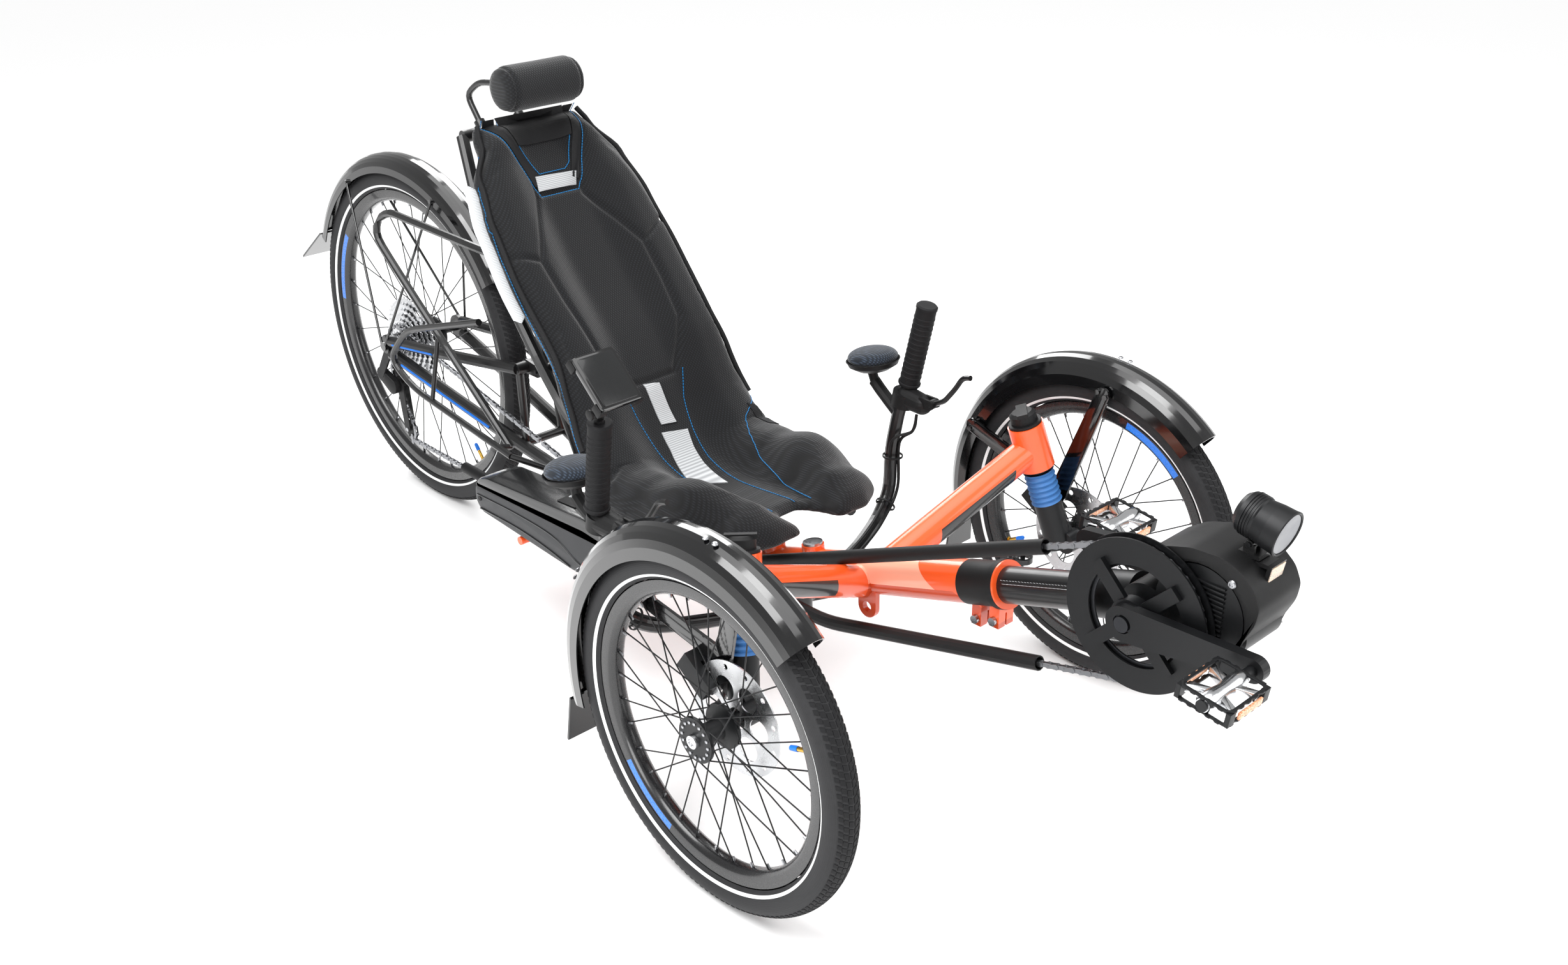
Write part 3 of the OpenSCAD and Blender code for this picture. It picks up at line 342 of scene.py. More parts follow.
@dataclass(frozen=True)
class RimFinish(Finish):
    """Black anodised rim with blue decal patches beside the valve and opposite it."""

    centre: tuple[float, float, float] = (0, 0, 0)
    decal_r: float = 0.193
    decal: str = "#1F6FD0"
    turn: float = 0.0

    def pattern(self, tree: bpy.types.NodeTree, shader: bpy.types.Node, place: bpy.types.NodeSocket) -> None:
        """Decal arcs by angle and radius, over a fine anodised grain."""
        wheel = self.local(tree, place, Vector(self.centre))
        x, _, z = (add(tree, "ShaderNodeSeparateXYZ", {0: wheel}).outputs[i] for i in range(3))
        radius = sums(tree, "SQRT", sums(tree, "ADD", sums(tree, "MULTIPLY", x, x), sums(tree, "MULTIPLY", z, z)))
        angle = sums(tree, "ARCTAN2", z, x)
        mask = sums(tree, "MULTIPLY", self.band(tree, radius, self.decal_r, 0.0055),
                    self.band(tree, angle, self.turn, 0.27))
        tree.links.new(self.mix(tree, mask, linear(self.colour), linear(self.decal)), shader.inputs["Base Color"])
        self.vary(tree, shader, self.noise(tree, place, 300.0), 0.06)


@dataclass(frozen=True)
class Clear(Finish):
    """Clear polycarbonate or glass: smooth, with very light moulding waves."""

    ior: float = 1.5

    def pattern(self, tree: bpy.types.NodeTree, shader: bpy.types.Node, place: bpy.types.NodeSocket) -> None:
        """Lets light through and adds faint waves."""
        shader.inputs["Transmission Weight"].default_value = 0.85
        shader.inputs["IOR"].default_value = self.ior
        self.bump(tree, shader, self.noise(tree, place, 60.0), 0.05, 0.3)


@dataclass(frozen=True)
class Prismatic(Finish):
    """Moulded reflector: hexagonal corner cubes 2.2 mm across behind a glossy face."""

    def pattern(self, tree: bpy.types.NodeTree, shader: bpy.types.Node, place: bpy.types.NodeSocket) -> None:
        """Facets that differ a little in shade and slope."""
        cells = add(tree, "ShaderNodeTexVoronoi", {"Vector": place, "Scale": 1000 / 2.2})
        shade = self.mix(tree, cells.outputs["Distance"], linear(self.colour), linear("#FFD9B0"))
        tree.links.new(shade, shader.inputs["Base Color"])
        self.bump(tree, shader, cells.outputs["Distance"], 0.4, 0.7)


class Look(Enum):
    """The finishes that pieces share."""

    FRAME = FramePaint("orange_powder_coat", "#F2581F", 0.34, coat=0.6)
    BLACK = PowderCoat("black_powder_coat", "#0B0B0C", 0.38, coat=0.25)
    SATIN = PowderCoat("black_anodised_aluminium", "#101113", 0.42, 0.4)
    NYLON = Moulded("black_moulded_nylon", "#0D0D0E", 0.55)
    SHELL = Gloss("gloss_black_abs", "#060607", 0.12, coat=0.8)
    BATTERY = Moulded("dark_grey_battery_shell", "#2E2F31", 0.42, grain_mm=0.9)
    BATTERY_TOP = Gloss("dark_gloss_battery_top", "#121314", 0.2, coat=0.5)
    MESH = SpacerMesh("black_spacer_mesh", "#050506", 0.9)
    PALM = SpacerMesh("blue_black_spacer_mesh", "#0A0F16", 0.85, thread="#3A4656")
    STITCH = Webbing("blue_polyester_thread", "#1E7FC0", 0.6, rib_mm=0.8)
    EDGE = Webbing("black_edge_binding", "#121214", 0.7, rib_mm=1.2)
    TAPE = Webbing("silver_reflecting_tape", "#B9BBBD", 0.35, rib_mm=2.4)
    WHITE_TAPE = Webbing("white_reflecting_tape", "#E8EBEE", 0.4, rib_mm=2.0)
    RUBBER = Moulded("black_rubber", "#101012", 0.72, grain_mm=1.6)
    BLUE_RUBBER = Moulded("blue_bellows_rubber", "#3F74B0", 0.5, grain_mm=0.9)
    STEEL = Metal("brushed_stainless_steel", "#C9CACC", 0.28, 1.0)
    CHAIN = Metal("oiled_chain_steel", "#8E8F92", 0.36, 1.0)
    ALLOY = Metal("polished_alloy", "#D8D9DB", 0.2, 1.0)
    BOLT = Metal("zinc_plated_bolts", "#A9AAAD", 0.3, 1.0, lines_mm=0.5)
    DARK_STEEL = Metal("dark_steel", "#3A3B3E", 0.34, 0.9)
    BRASS = Metal("brass", "#C9A14A", 0.25, 1.0)
    LENS = Clear("clear_lens", "#F2F6F8", 0.04)
    AMBER = Prismatic("amber_reflector", "#D2560A", 0.35, coat=0.3)
    WHITE_REFLECTOR = Prismatic("clear_reflector", "#9A9FA3", 0.25, coat=0.4)
    BLUE = Gloss("blue_lacquer", "#1F6FD0", 0.3)
    YELLOW = Gloss("yellow_enamel", "#D9B21E", 0.35)


CAD_LOOKS: dict[str, Look] = {
    "main_frame": Look.FRAME, "frame_fittings": Look.BOLT, "seat_frame": Look.BLACK, "battery_pack": Look.BATTERY,
    "rack": Look.BLACK, "chain_tubes": Look.NYLON, "chain_tube_rear": Look.NYLON, "idler_pulley": Look.NYLON,
    "boom_tube": Look.BLACK, "motor_housing": Look.SATIN, "motor_cover": Look.NYLON, "light_bracket": Look.BLACK,
    "headlight_body": Look.SATIN, "headlight_lens": Look.LENS, "crank_spindle": Look.DARK_STEEL,
    "crank_arm_right": Look.SATIN, "crank_arm_left": Look.SATIN, "chainring": Look.DARK_STEEL,
    "chain_guard": Look.SATIN, "pedal_right": Look.BLACK, "pedal_left": Look.BLACK, "handlebar": Look.BLACK,
    "grips": Look.RUBBER, "bar_fittings": Look.NYLON, "brake_lever_right": Look.BLACK,
    "brake_lever_left": Look.BLACK, "display_unit": Look.SHELL, "tie_rod_right": Look.BLACK,
    "tie_rod_left": Look.BLACK, "kingpin_right": Look.NYLON, "kingpin_left": Look.NYLON,
    "bellows_right": Look.BLUE_RUBBER, "bellows_left": Look.BLUE_RUBBER, "knuckle_right": Look.SATIN,
    "knuckle_left": Look.SATIN, "fender_right": Look.SHELL, "fender_left": Look.SHELL, "rotor_right": Look.STEEL,
    "rotor_left": Look.STEEL, "headrest_posts": Look.BLACK, "swingarm": Look.BLACK, "rear_fender": Look.SHELL,
    "derailleur": Look.NYLON, "chain_front": Look.CHAIN, "chain_middle": Look.CHAIN, "chain_rear": Look.CHAIN,
    "cassette": Look.STEEL, "shock_body": Look.SATIN, "shock_shaft": Look.ALLOY,
    "tyre_right": Look.RUBBER, "tyre_left": Look.RUBBER, "rear_tyre": Look.RUBBER,
    "spoked_wheel_right": Look.SATIN, "spoked_wheel_left": Look.SATIN, "rear_spoked_wheel": Look.SATIN,
    "seat_back_pad": Look.MESH, "seat_base_pad": Look.MESH, "headrest_pad": Look.MESH, "palm_pads": Look.PALM,
}


# ---------------------------------------------------------------- mesh making


def mesh_piece(name: str, points: Sequence[Sequence[float]], faces: Sequence[Sequence[int]], look: Finish,
               sharp: float = 35.0) -> bpy.types.Object:
    """Makes a shaded mesh piece at the origin.

    Args:
        name: the piece's name.
        points: corners in metres.
        faces: corner indices of each face.
        look: the finish it wears.
        sharp: angle in degrees above which an edge stays sharp.

    Returns:
        The new object.
    """
    mesh = bpy.data.meshes.new(name)
    mesh.from_pydata([tuple(p) for p in points], [], [tuple(f) for f in faces])
    work = bmesh.new()
    work.from_mesh(mesh)
    bmesh.ops.remove_doubles(work, verts=work.verts, dist=1e-6)
    bmesh.ops.recalc_face_normals(work, faces=work.faces)
    work.to_mesh(mesh)
    work.free()
    return shaded(name, mesh, look, sharp)


def paint(mesh: bpy.types.Mesh, look: Finish) -> None:
    """Gives a mesh one finish."""
    mesh.materials.clear()
    mesh.materials.append(look.material())


def shaded(name: str, mesh: bpy.types.Mesh, look: Finish, sharp: float = 35.0) -> bpy.types.Object:
    """Object of a mesh with smooth faces, sharp edges past an angle, and one finish."""
    mesh.name = name
    mesh.shade_smooth()
    mesh.set_sharp_from_angle(angle=math.radians(sharp))
    paint(mesh, look)
    made = bpy.data.objects.new(name, mesh)
    bpy.context.scene.collection.objects.link(made)
    return made


def baked(piece: bpy.types.Object) -> bpy.types.Object:
    """Applies every modifier of a piece."""
    bpy.context.view_layer.update()
    done = bpy.data.meshes.new_from_object(piece.evaluated_get(bpy.context.evaluated_depsgraph_get()))
    old = piece.data
    piece.modifiers.clear()
    piece.data = done
    done.name = piece.name
    if old.users == 0:
        bpy.data.meshes.remove(old)
    return piece


def joined(name: str, parts: Sequence[bpy.types.Object], look: Finish | None = None) -> bpy.types.Object:
    """Joins several pieces into one, keeping each one's finish unless one is given."""
    keep = parts[0]
    work = bmesh.new()
    slots: list[bpy.types.Material] = []
    for part in parts:
        first = len(work.faces)
        work.from_mesh(part.data)
        work.faces.ensure_lookup_table()
        own = list(part.data.materials)
        for face in work.faces[first:]:
            material = own[min(face.material_index, len(own) - 1)]
            if material not in slots:
                slots.append(material)
            face.material_index = slots.index(material)
    mesh = bpy.data.meshes.new(name)
    work.to_mesh(mesh)
    work.free()
    for material in slots:
        mesh.materials.append(material)
    for part in parts[1:]:
        bpy.data.objects.remove(part)
    keep.data = mesh
    keep.name = name
    if look:
        paint(mesh, look)
    return keep


def tube(name: str, route: Sequence[Vector], radius: float | Sequence[float], look: Finish, sides: int = 20,
         flat: float = 1.0, closed: bool = False) -> bpy.types.Object:
    """Sweeps a round or flattened section along a route.

    Args:
        name: the piece's name.
        route: points in metres.
        radius: one radius, or one for each point.
        look: the finish.
        sides: corners of the section.
        flat: height of the section over its width.
        closed: True where the route meets its own start.

    Returns:
        The new object.
    """
    count = len(route)
    radii = [radius] * count if isinstance(radius, (int, float)) else list(radius)
    points: list[Vector] = []
    normal = None
    for i, here in enumerate(route):
        ahead = route[(i + 1) % count] if closed or i < count - 1 else here
        behind = route[i - 1] if closed or i > 0 else here
        forward = (ahead - behind).normalized()
        if normal is None:
            normal = forward.cross(Vector((0, 1, 0)))
            if normal.length < 0.2:
                normal = forward.cross(Vector((0, 0, 1)))
        normal = (normal - forward * normal.dot(forward)).normalized()
        side = forward.cross(normal)
        for k in range(sides):
            a = 2 * math.pi * k / sides
            points.append(here + radii[i] * (math.cos(a) * flat * normal + math.sin(a) * side))
    faces = []
    spans = count if closed else count - 1
    for i in range(spans):
        n = (i + 1) % count
        for k in range(sides):
            m = (k + 1) % sides
            faces.append((i * sides + k, i * sides + m, n * sides + m, n * sides + k))
    if not closed:
        faces.append(tuple(range(sides)))
        faces.append(tuple(range((count - 1) * sides, count * sides)))
    return mesh_piece(name, points, faces, look)


def curved(points: Sequence[Vector], steps: int = 8) -> list[Vector]:
    """Smooth route through the given points."""
    out: list[Vector] = []
    for i in range(len(points) - 1):
        p0, p1, p2, p3 = (points[max(0, min(len(points) - 1, i + k))] for k in (-1, 0, 1, 2))
        for s in range(steps):
            t = s / steps
            out.append(0.5 * (2 * p1 + (p2 - p0) * t + (2 * p0 - 5 * p1 + 4 * p2 - p3) * t * t
                              + (3 * p1 - p0 - 3 * p2 + p3) * t**3))
    out.append(points[-1])
    return out


def lathe(name: str, profile: Sequence[tuple[float, float]], centre: Vector, look: Finish, segments: int = 96,
          axis: Vector = Vector((0, 1, 0)), closed: bool = True, sharp: float = 35.0) -> bpy.types.Object:
    """Turns a profile of (radius, distance along the axis) in millimetres about an axis."""
    turn = Vector((0, 0, 1)).rotation_difference(axis.normalized()).to_matrix()
    points, faces = [], []
    count = len(profile)
    for i in range(segments):
        a = 2 * math.pi * i / segments
        for r, h in profile:
            points.append(centre + turn @ Vector((r * math.cos(a), r * math.sin(a), h)) * MM)
    for i in range(segments):
        n = (i + 1) % segments
        for k in range(count if closed else count - 1):
            m = (k + 1) % count
            faces.append((i * count + k, i * count + m, n * count + m, n * count + k))
    return mesh_piece(name, points, faces, look, sharp)


def slab(name: str, outline: Sequence[tuple[float, float]], thick: float, place: Matrix, look: Finish,
         bevel: float = 0.0, holes: Sequence[Sequence[tuple[float, float]]] = ()) -> bpy.types.Object:
    """Flat plate of a given outline, in millimetres in its own plane, with rounded edges.

    Args:
        name: the piece's name.
        outline: corners in the plate's plane.
        thick: thickness, half on each side of the plane.
        place: turns the plate's plane into the row frame; its translation is in metres.
        look: the finish.
        bevel: width of the rounded edges in millimetres.
        holes: outlines cut out of the plate.

    Returns:
        The new object.
    """
    work = bmesh.new()
    edges = []
    for loop in (outline, *holes):
        corners = [work.verts.new((x * MM, y * MM, -thick * MM / 2)) for x, y in loop]
        edges += [work.edges.new((corners[i], corners[(i + 1) % len(corners)])) for i in range(len(corners))]
    bmesh.ops.triangle_fill(work, edges=edges, use_beauty=True)
    bmesh.ops.dissolve_limit(work, angle_limit=0.01, verts=work.verts, edges=work.edges, delimit={"MATERIAL"})
    lifted = bmesh.ops.extrude_face_region(work, geom=list(work.faces))
    bmesh.ops.translate(work, vec=(0, 0, thick * MM),
                        verts=[v for v in lifted["geom"] if isinstance(v, bmesh.types.BMVert)])
    bmesh.ops.recalc_face_normals(work, faces=work.faces)
    if bevel:
        rim = [e for e in work.edges if len(e.link_faces) == 2 and e.calc_face_angle(0) > 0.6]
        bmesh.ops.bevel(work, geom=rim, offset=bevel * MM, segments=2, affect="EDGES", profile=0.6)
    bmesh.ops.transform(work, matrix=place, verts=work.verts)
    bmesh.ops.recalc_face_normals(work, faces=work.faces)
    mesh = bpy.data.meshes.new(name)
    work.to_mesh(mesh)
    work.free()
    return shaded(name, mesh, look)


def across_y(origin: Vector) -> Matrix:
    """Places a plate's plane upright along the tricycle, its own Y pointing up."""
    return Matrix.Translation(origin) @ Matrix(((1, 0, 0, 0), (0, 0, -1, 0), (0, 1, 0, 0), (0, 0, 0, 1)))


def circle(radius: float, count: int = 48, x: float = 0.0, y: float = 0.0) -> list[tuple[float, float]]:
    """Corners of a circle, in the same unit as its radius."""
    return [(x + radius * math.cos(2 * math.pi * i / count), y + radius * math.sin(2 * math.pi * i / count))
            for i in range(count)]


def oblong(half_x: float, half_y: float, x: float = 0, y: float = 0) -> list[tuple[float, float]]:
    """Corners of an oblong about a point, in the unit of its half sizes."""
    return [(x - half_x, y - half_y), (x + half_x, y - half_y), (x + half_x, y + half_y),
            (x - half_x, y + half_y)]


def put(piece: bpy.types.Object, body: str, slot: str, *nodes: str) -> bpy.types.Object:
    """Puts a piece on the empty of the body it rides on and hides the CAD nodes it stands for; the slot is not
    used.
    """
    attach(piece, body)
    if nodes:
        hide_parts(*nodes)
    return piece


# ---------------------------------------------------------------- repeats


@dataclass
class Repeat:
    """Geometry Nodes tree that sets copies of an item at even steps along a path.

    The item's X follows the path and its Y follows the given cross direction.
    """

    name: str = "even_repeat"

    def tree(self) -> bpy.types.NodeTree:
        """The node tree, made once, with named inputs for the repeat's sizes."""
        found = bpy.data.node_groups.get(self.name)
        if found:
            return found
        made = bpy.data.node_groups.new(self.name, "GeometryNodeTree")
        face = made.interface
        face.new_socket("Path", in_out="INPUT", socket_type="NodeSocketGeometry")
        for label, kind in (("Count", "Int"), ("Item", "Object"), ("Cross direction", "Vector"),
                            ("Finish", "Material"), ("Every other width", "Float"), ("Spin", "Float")):
            face.new_socket(label, in_out="INPUT", socket_type="NodeSocket" + kind)
        face.new_socket("Pieces", in_out="OUTPUT", socket_type="NodeSocketGeometry")
        given = add(made, "NodeGroupInput").outputs
        line = add(made, "GeometryNodeMeshToCurve", {"Mesh": given["Path"]}).outputs[0]
        even = add(made, "GeometryNodeResampleCurve", {"Curve": line, "Count": given["Count"]}).outputs[0]
        along = add(made, "GeometryNodeInputTangent").outputs[0]
        turn = add(made, "FunctionNodeAxesToRotation",
                   {"Primary Axis": along, "Secondary Axis": given["Cross direction"]}, primary_axis="X",
                   secondary_axis="Y").outputs[0]
        spun = add(made, "FunctionNodeRotateRotation", {"Rotation": turn}, rotation_space="LOCAL")
        roll = add(made, "ShaderNodeCombineXYZ", {"X": given["Spin"]}).outputs[0]
        euler = add(made, "FunctionNodeEulerToRotation", {0: roll}).outputs[0]
        made.links.new(euler, spun.inputs["Rotate By"])
        item = add(made, "GeometryNodeObjectInfo",
                   {"Object": given["Item"], "As Instance": True}).outputs["Geometry"]
        index = add(made, "GeometryNodeInputIndex").outputs[0]
        odd = sums(made, "MODULO", index, 2.0)
        less = sums(made, "MULTIPLY", odd, given["Every other width"])
        width = sums(made, "SUBTRACT", 1.0, less)
        scale = add(made, "ShaderNodeCombineXYZ", {"X": 1.0, "Y": width, "Z": 1.0}).outputs[0]
        placed = add(made, "GeometryNodeInstanceOnPoints", {"Points": even, "Instance": item,
                                                            "Rotation": spun.outputs[0],
                                                            "Scale": scale}).outputs[0]
        solid = add(made, "GeometryNodeRealizeInstances", {"Geometry": placed}).outputs[0]
        dressed = add(made, "GeometryNodeSetMaterial",
                      {"Geometry": solid, "Material": given["Finish"]}).outputs[0]
        add(made, "NodeGroupOutput", {0: dressed})
        return made

    def along(self, name: str, route: Sequence[Vector], item: bpy.types.Object, count: int, look: Finish,
              cross: Point = (0, 1, 0), closed: bool = False, narrow: float = 0.0,
              spin: float = 0.0) -> bpy.types.Object:
        """Copies an item along a route.

        Args:
            name: the new piece's name.
            route: the path in metres.
            item: a small piece at the origin, which is removed afterwards.
            count: how many copies.
            look: the finish of the copies.
            cross: direction that each copy's Y follows.
            closed: True where the route is a loop.
            narrow: how much of its width every second copy loses.
            spin: turn of each copy about the path, in radians.

        Returns:
            One plain mesh piece.
        """
        mesh = bpy.data.meshes.new(name)
        edges = [(i, i + 1) for i in range(len(route) - 1)] + ([(len(route) - 1, 0)] if closed else [])
        mesh.from_pydata([tuple(p) for p in route], edges, [])
        holder = bpy.data.objects.new(name, mesh)
        bpy.context.scene.collection.objects.link(holder)
        tree = self.tree()
        sockets = {s.name: s.identifier for s in tree.interface.items_tree if s.in_out == "INPUT"}
        step = holder.modifiers.new("repeat", "NODES")
        step.node_group = tree
        for label, value in (("Count", count), ("Item", item), ("Cross direction", cross),
                             ("Finish", look.material()), ("Every other width", narrow), ("Spin", spin)):
            step[sockets[label]] = value
        holder.update_tag()
        done = baked(holder)
        done.data.shade_smooth()
        done.data.set_sharp_from_angle(angle=math.radians(35))
        bpy.data.objects.remove(item)
        return done


def ring_route(centre: Vector, radius: float, count: int = 180, y: float = 0.0) -> list[Vector]:
    """Circle in an upright plane along the tricycle, radius and y in millimetres."""
    return [centre
            + Vector((radius * math.cos(2 * math.pi * i / count), y, radius * math.sin(2 * math.pi * i / count)))
            * MM
            for i in range(count)]


# ---------------------------------------------------------------- seat


SEAT_LINE = ((-888, 813), (-814, 710), (-714, 583), (-639, 500), (-597, 435), (-560, 372), (-505, 322),
             (-430, 300), (-330, 306), (-240, 318), (-186, 326))
HALF_WIDTH = ((0, 103), (40, 114), (100, 146), (180, 160), (280, 166), (400, 164), (470, 172), (560, 180),
              (640, 184), (720, 181), (800, 176), (894, 150), (950, 120))
SIDE_RISE = ((0, 8), (60, 20), (150, 28), (300, 30), (420, 26), (500, 20), (600, 26), (700, 50), (790, 66),
             (880, 46), (950, 18))
CHANNELS = (
    ((120, -47), (146, -53), (200, -84), (254, -110), (330, -104), (417, -91), (470, -80)),
    ((120, 41), (153, 38), (210, 66), (264, 88), (330, 88), (399, 84), (440, 66), (477, 46), (478, 8), (478, -27),
     (470, -80)),
    ((222, -160), (240, -136), (254, -110)),
    ((264, 88), (243, 124), (227, 156)),
)
YOKE = ((2, -84), (60, -66), (99, -52), (120, -47), (142, -40), (142, 30), (120, 41), (99, 54), (60, 70), (2, 90))


def table_value(pairs: Sequence[tuple[float, float]], x: float) -> float:
    """Smooth value of a table of (place, value) pairs."""
    if x <= pairs[0][0]:
        return pairs[0][1]
    for (a, va), (b, vb) in zip(pairs, pairs[1:]):
        if x <= b:
            t = (x - a) / (b - a)
            return va + (vb - va) * t * t * (3 - 2 * t)
    return pairs[-1][1]


def smooth(x: float, low: float, high: float) -> float:
    """0 below low, 1 above high, with an eased step between."""
    t = max(0.0, min(1.0, (x - low) / (high - low)))
    return t * t * (3 - 2 * t)


@dataclass
class SeatLine:
    """The seat's centre line, rounded, with the place and outward direction at any length along it."""

    route: list[tuple[float, float]] = field(default_factory=list)
    lengths: list[float] = field(default_factory=list)

    def __post_init__(self) -> None:
        """Rounds the corners and measures the lengths."""
        smooth_route = curved([Vector((x, 0, z)) for x, z in SEAT_LINE], 10)
        self.route = [(p.x, p.z) for p in smooth_route]
        self.lengths = [0.0]
        for (ax, az), (bx, bz) in zip(self.route, self.route[1:]):
            self.lengths.append(self.lengths[-1] + math.hypot(bx - ax, bz - az))
        coarse = sum(math.hypot(bx - ax, bz - az) for (ax, az), (bx, bz) in zip(SEAT_LINE, SEAT_LINE[1:]))
        stretch = coarse / self.lengths[-1]
        self.lengths = [v * stretch for v in self.lengths]

    def frame_at(self, s: float) -> tuple[float, float, float, float]:
        """x, z and the outward direction's x and z at a length along the line, in millimetres."""
        i = 0
        while i < len(self.lengths) - 2 and self.lengths[i + 1] < s:
            i += 1
        (ax, az), (bx, bz) = self.route[i], self.route[i + 1]
        t = (s - self.lengths[i]) / (self.lengths[i + 1] - self.lengths[i])
        length = math.hypot(bx - ax, bz - az)
        return (ax + (bx - ax) * t, az + (bz - az) * t, -(bz - az) / length, (bx - ax) / length)

    def place(self, s: float, y: float, lift: float) -> Vector:
        """Point over the line, in metres."""
        x, z, nx, nz = self.frame_at(s)
        return at(x + nx * lift, y, z + nz * lift)

    def locate(self, point: Vector) -> tuple[float, float, float]:
        """Length along the line, y and lift of a point in metres."""
        x, y, z = (point.x - FRONT_AXLE_X) / MM, point.y / MM, point.z / MM
        best = (1e9, 0.0, 0.0)
        for i, ((ax, az), (bx, bz)) in enumerate(zip(self.route, self.route[1:])):
            dx, dz = bx - ax, bz - az
            square = dx * dx + dz * dz
            t = max(0.0, min(1.0, ((x - ax) * dx + (z - az) * dz) / square))
            px, pz = x - ax - dx * t, z - az - dz * t
            gap = px * px + pz * pz
            if gap < best[0]:
                lift = (px * -dz + pz * dx) / math.sqrt(square)
                best = (gap, self.lengths[i] + (self.lengths[i + 1] - self.lengths[i]) * t, lift)
        return best[1], y, best[2]


def puff(piece: bpy.types.Object, voxel_mm: float, pressure: float, cap_mm: float,
         frames: int = 20) -> bpy.types.Object:
    """Fills a closed shape as foam fills a cover, with a cloth simulation.

    Args:
        piece: the closed mesh, slightly smaller than the filled pad.
        voxel_mm: size of the even mesh made first.
        pressure: pressure inside.
        cap_mm: furthest that a point may move.
        frames: steps of the simulation.

    Returns:
        The same piece, filled, with one subdivision.
    """
    remesh = piece.modifiers.new("even", "REMESH")
    remesh.mode = "VOXEL"
    remesh.voxel_size = voxel_mm * MM
    remesh.use_smooth_shade = True
    baked(piece)
    start = [v.co.copy() for v in piece.data.vertices]
    cloth = piece.modifiers.new("fill", "CLOTH")
    cloth.settings.use_pressure = True
    cloth.settings.uniform_pressure_force = pressure
    cloth.settings.effector_weights.gravity = 0
    cloth.settings.tension_stiffness = 12
    cloth.settings.bending_stiffness = 0.6
    cloth.collision_settings.use_collision = False
    cloth.point_cache.frame_start, cloth.point_cache.frame_end = 1, frames
    scene = bpy.context.scene
    for step in range(1, frames + 1):
        scene.frame_set(step)
    baked(piece)
    scene.frame_set(1)
    for vertex, origin in zip(piece.data.vertices, start):
        move = vertex.co - origin
        if move.length > cap_mm * MM:
            vertex.co = origin + move.normalized() * cap_mm * MM
    fine = piece.modifiers.new("fine", "SUBSURF")
    fine.levels = fine.render_levels = 1
    baked(piece)
    piece.data.shade_smooth()
    return piece


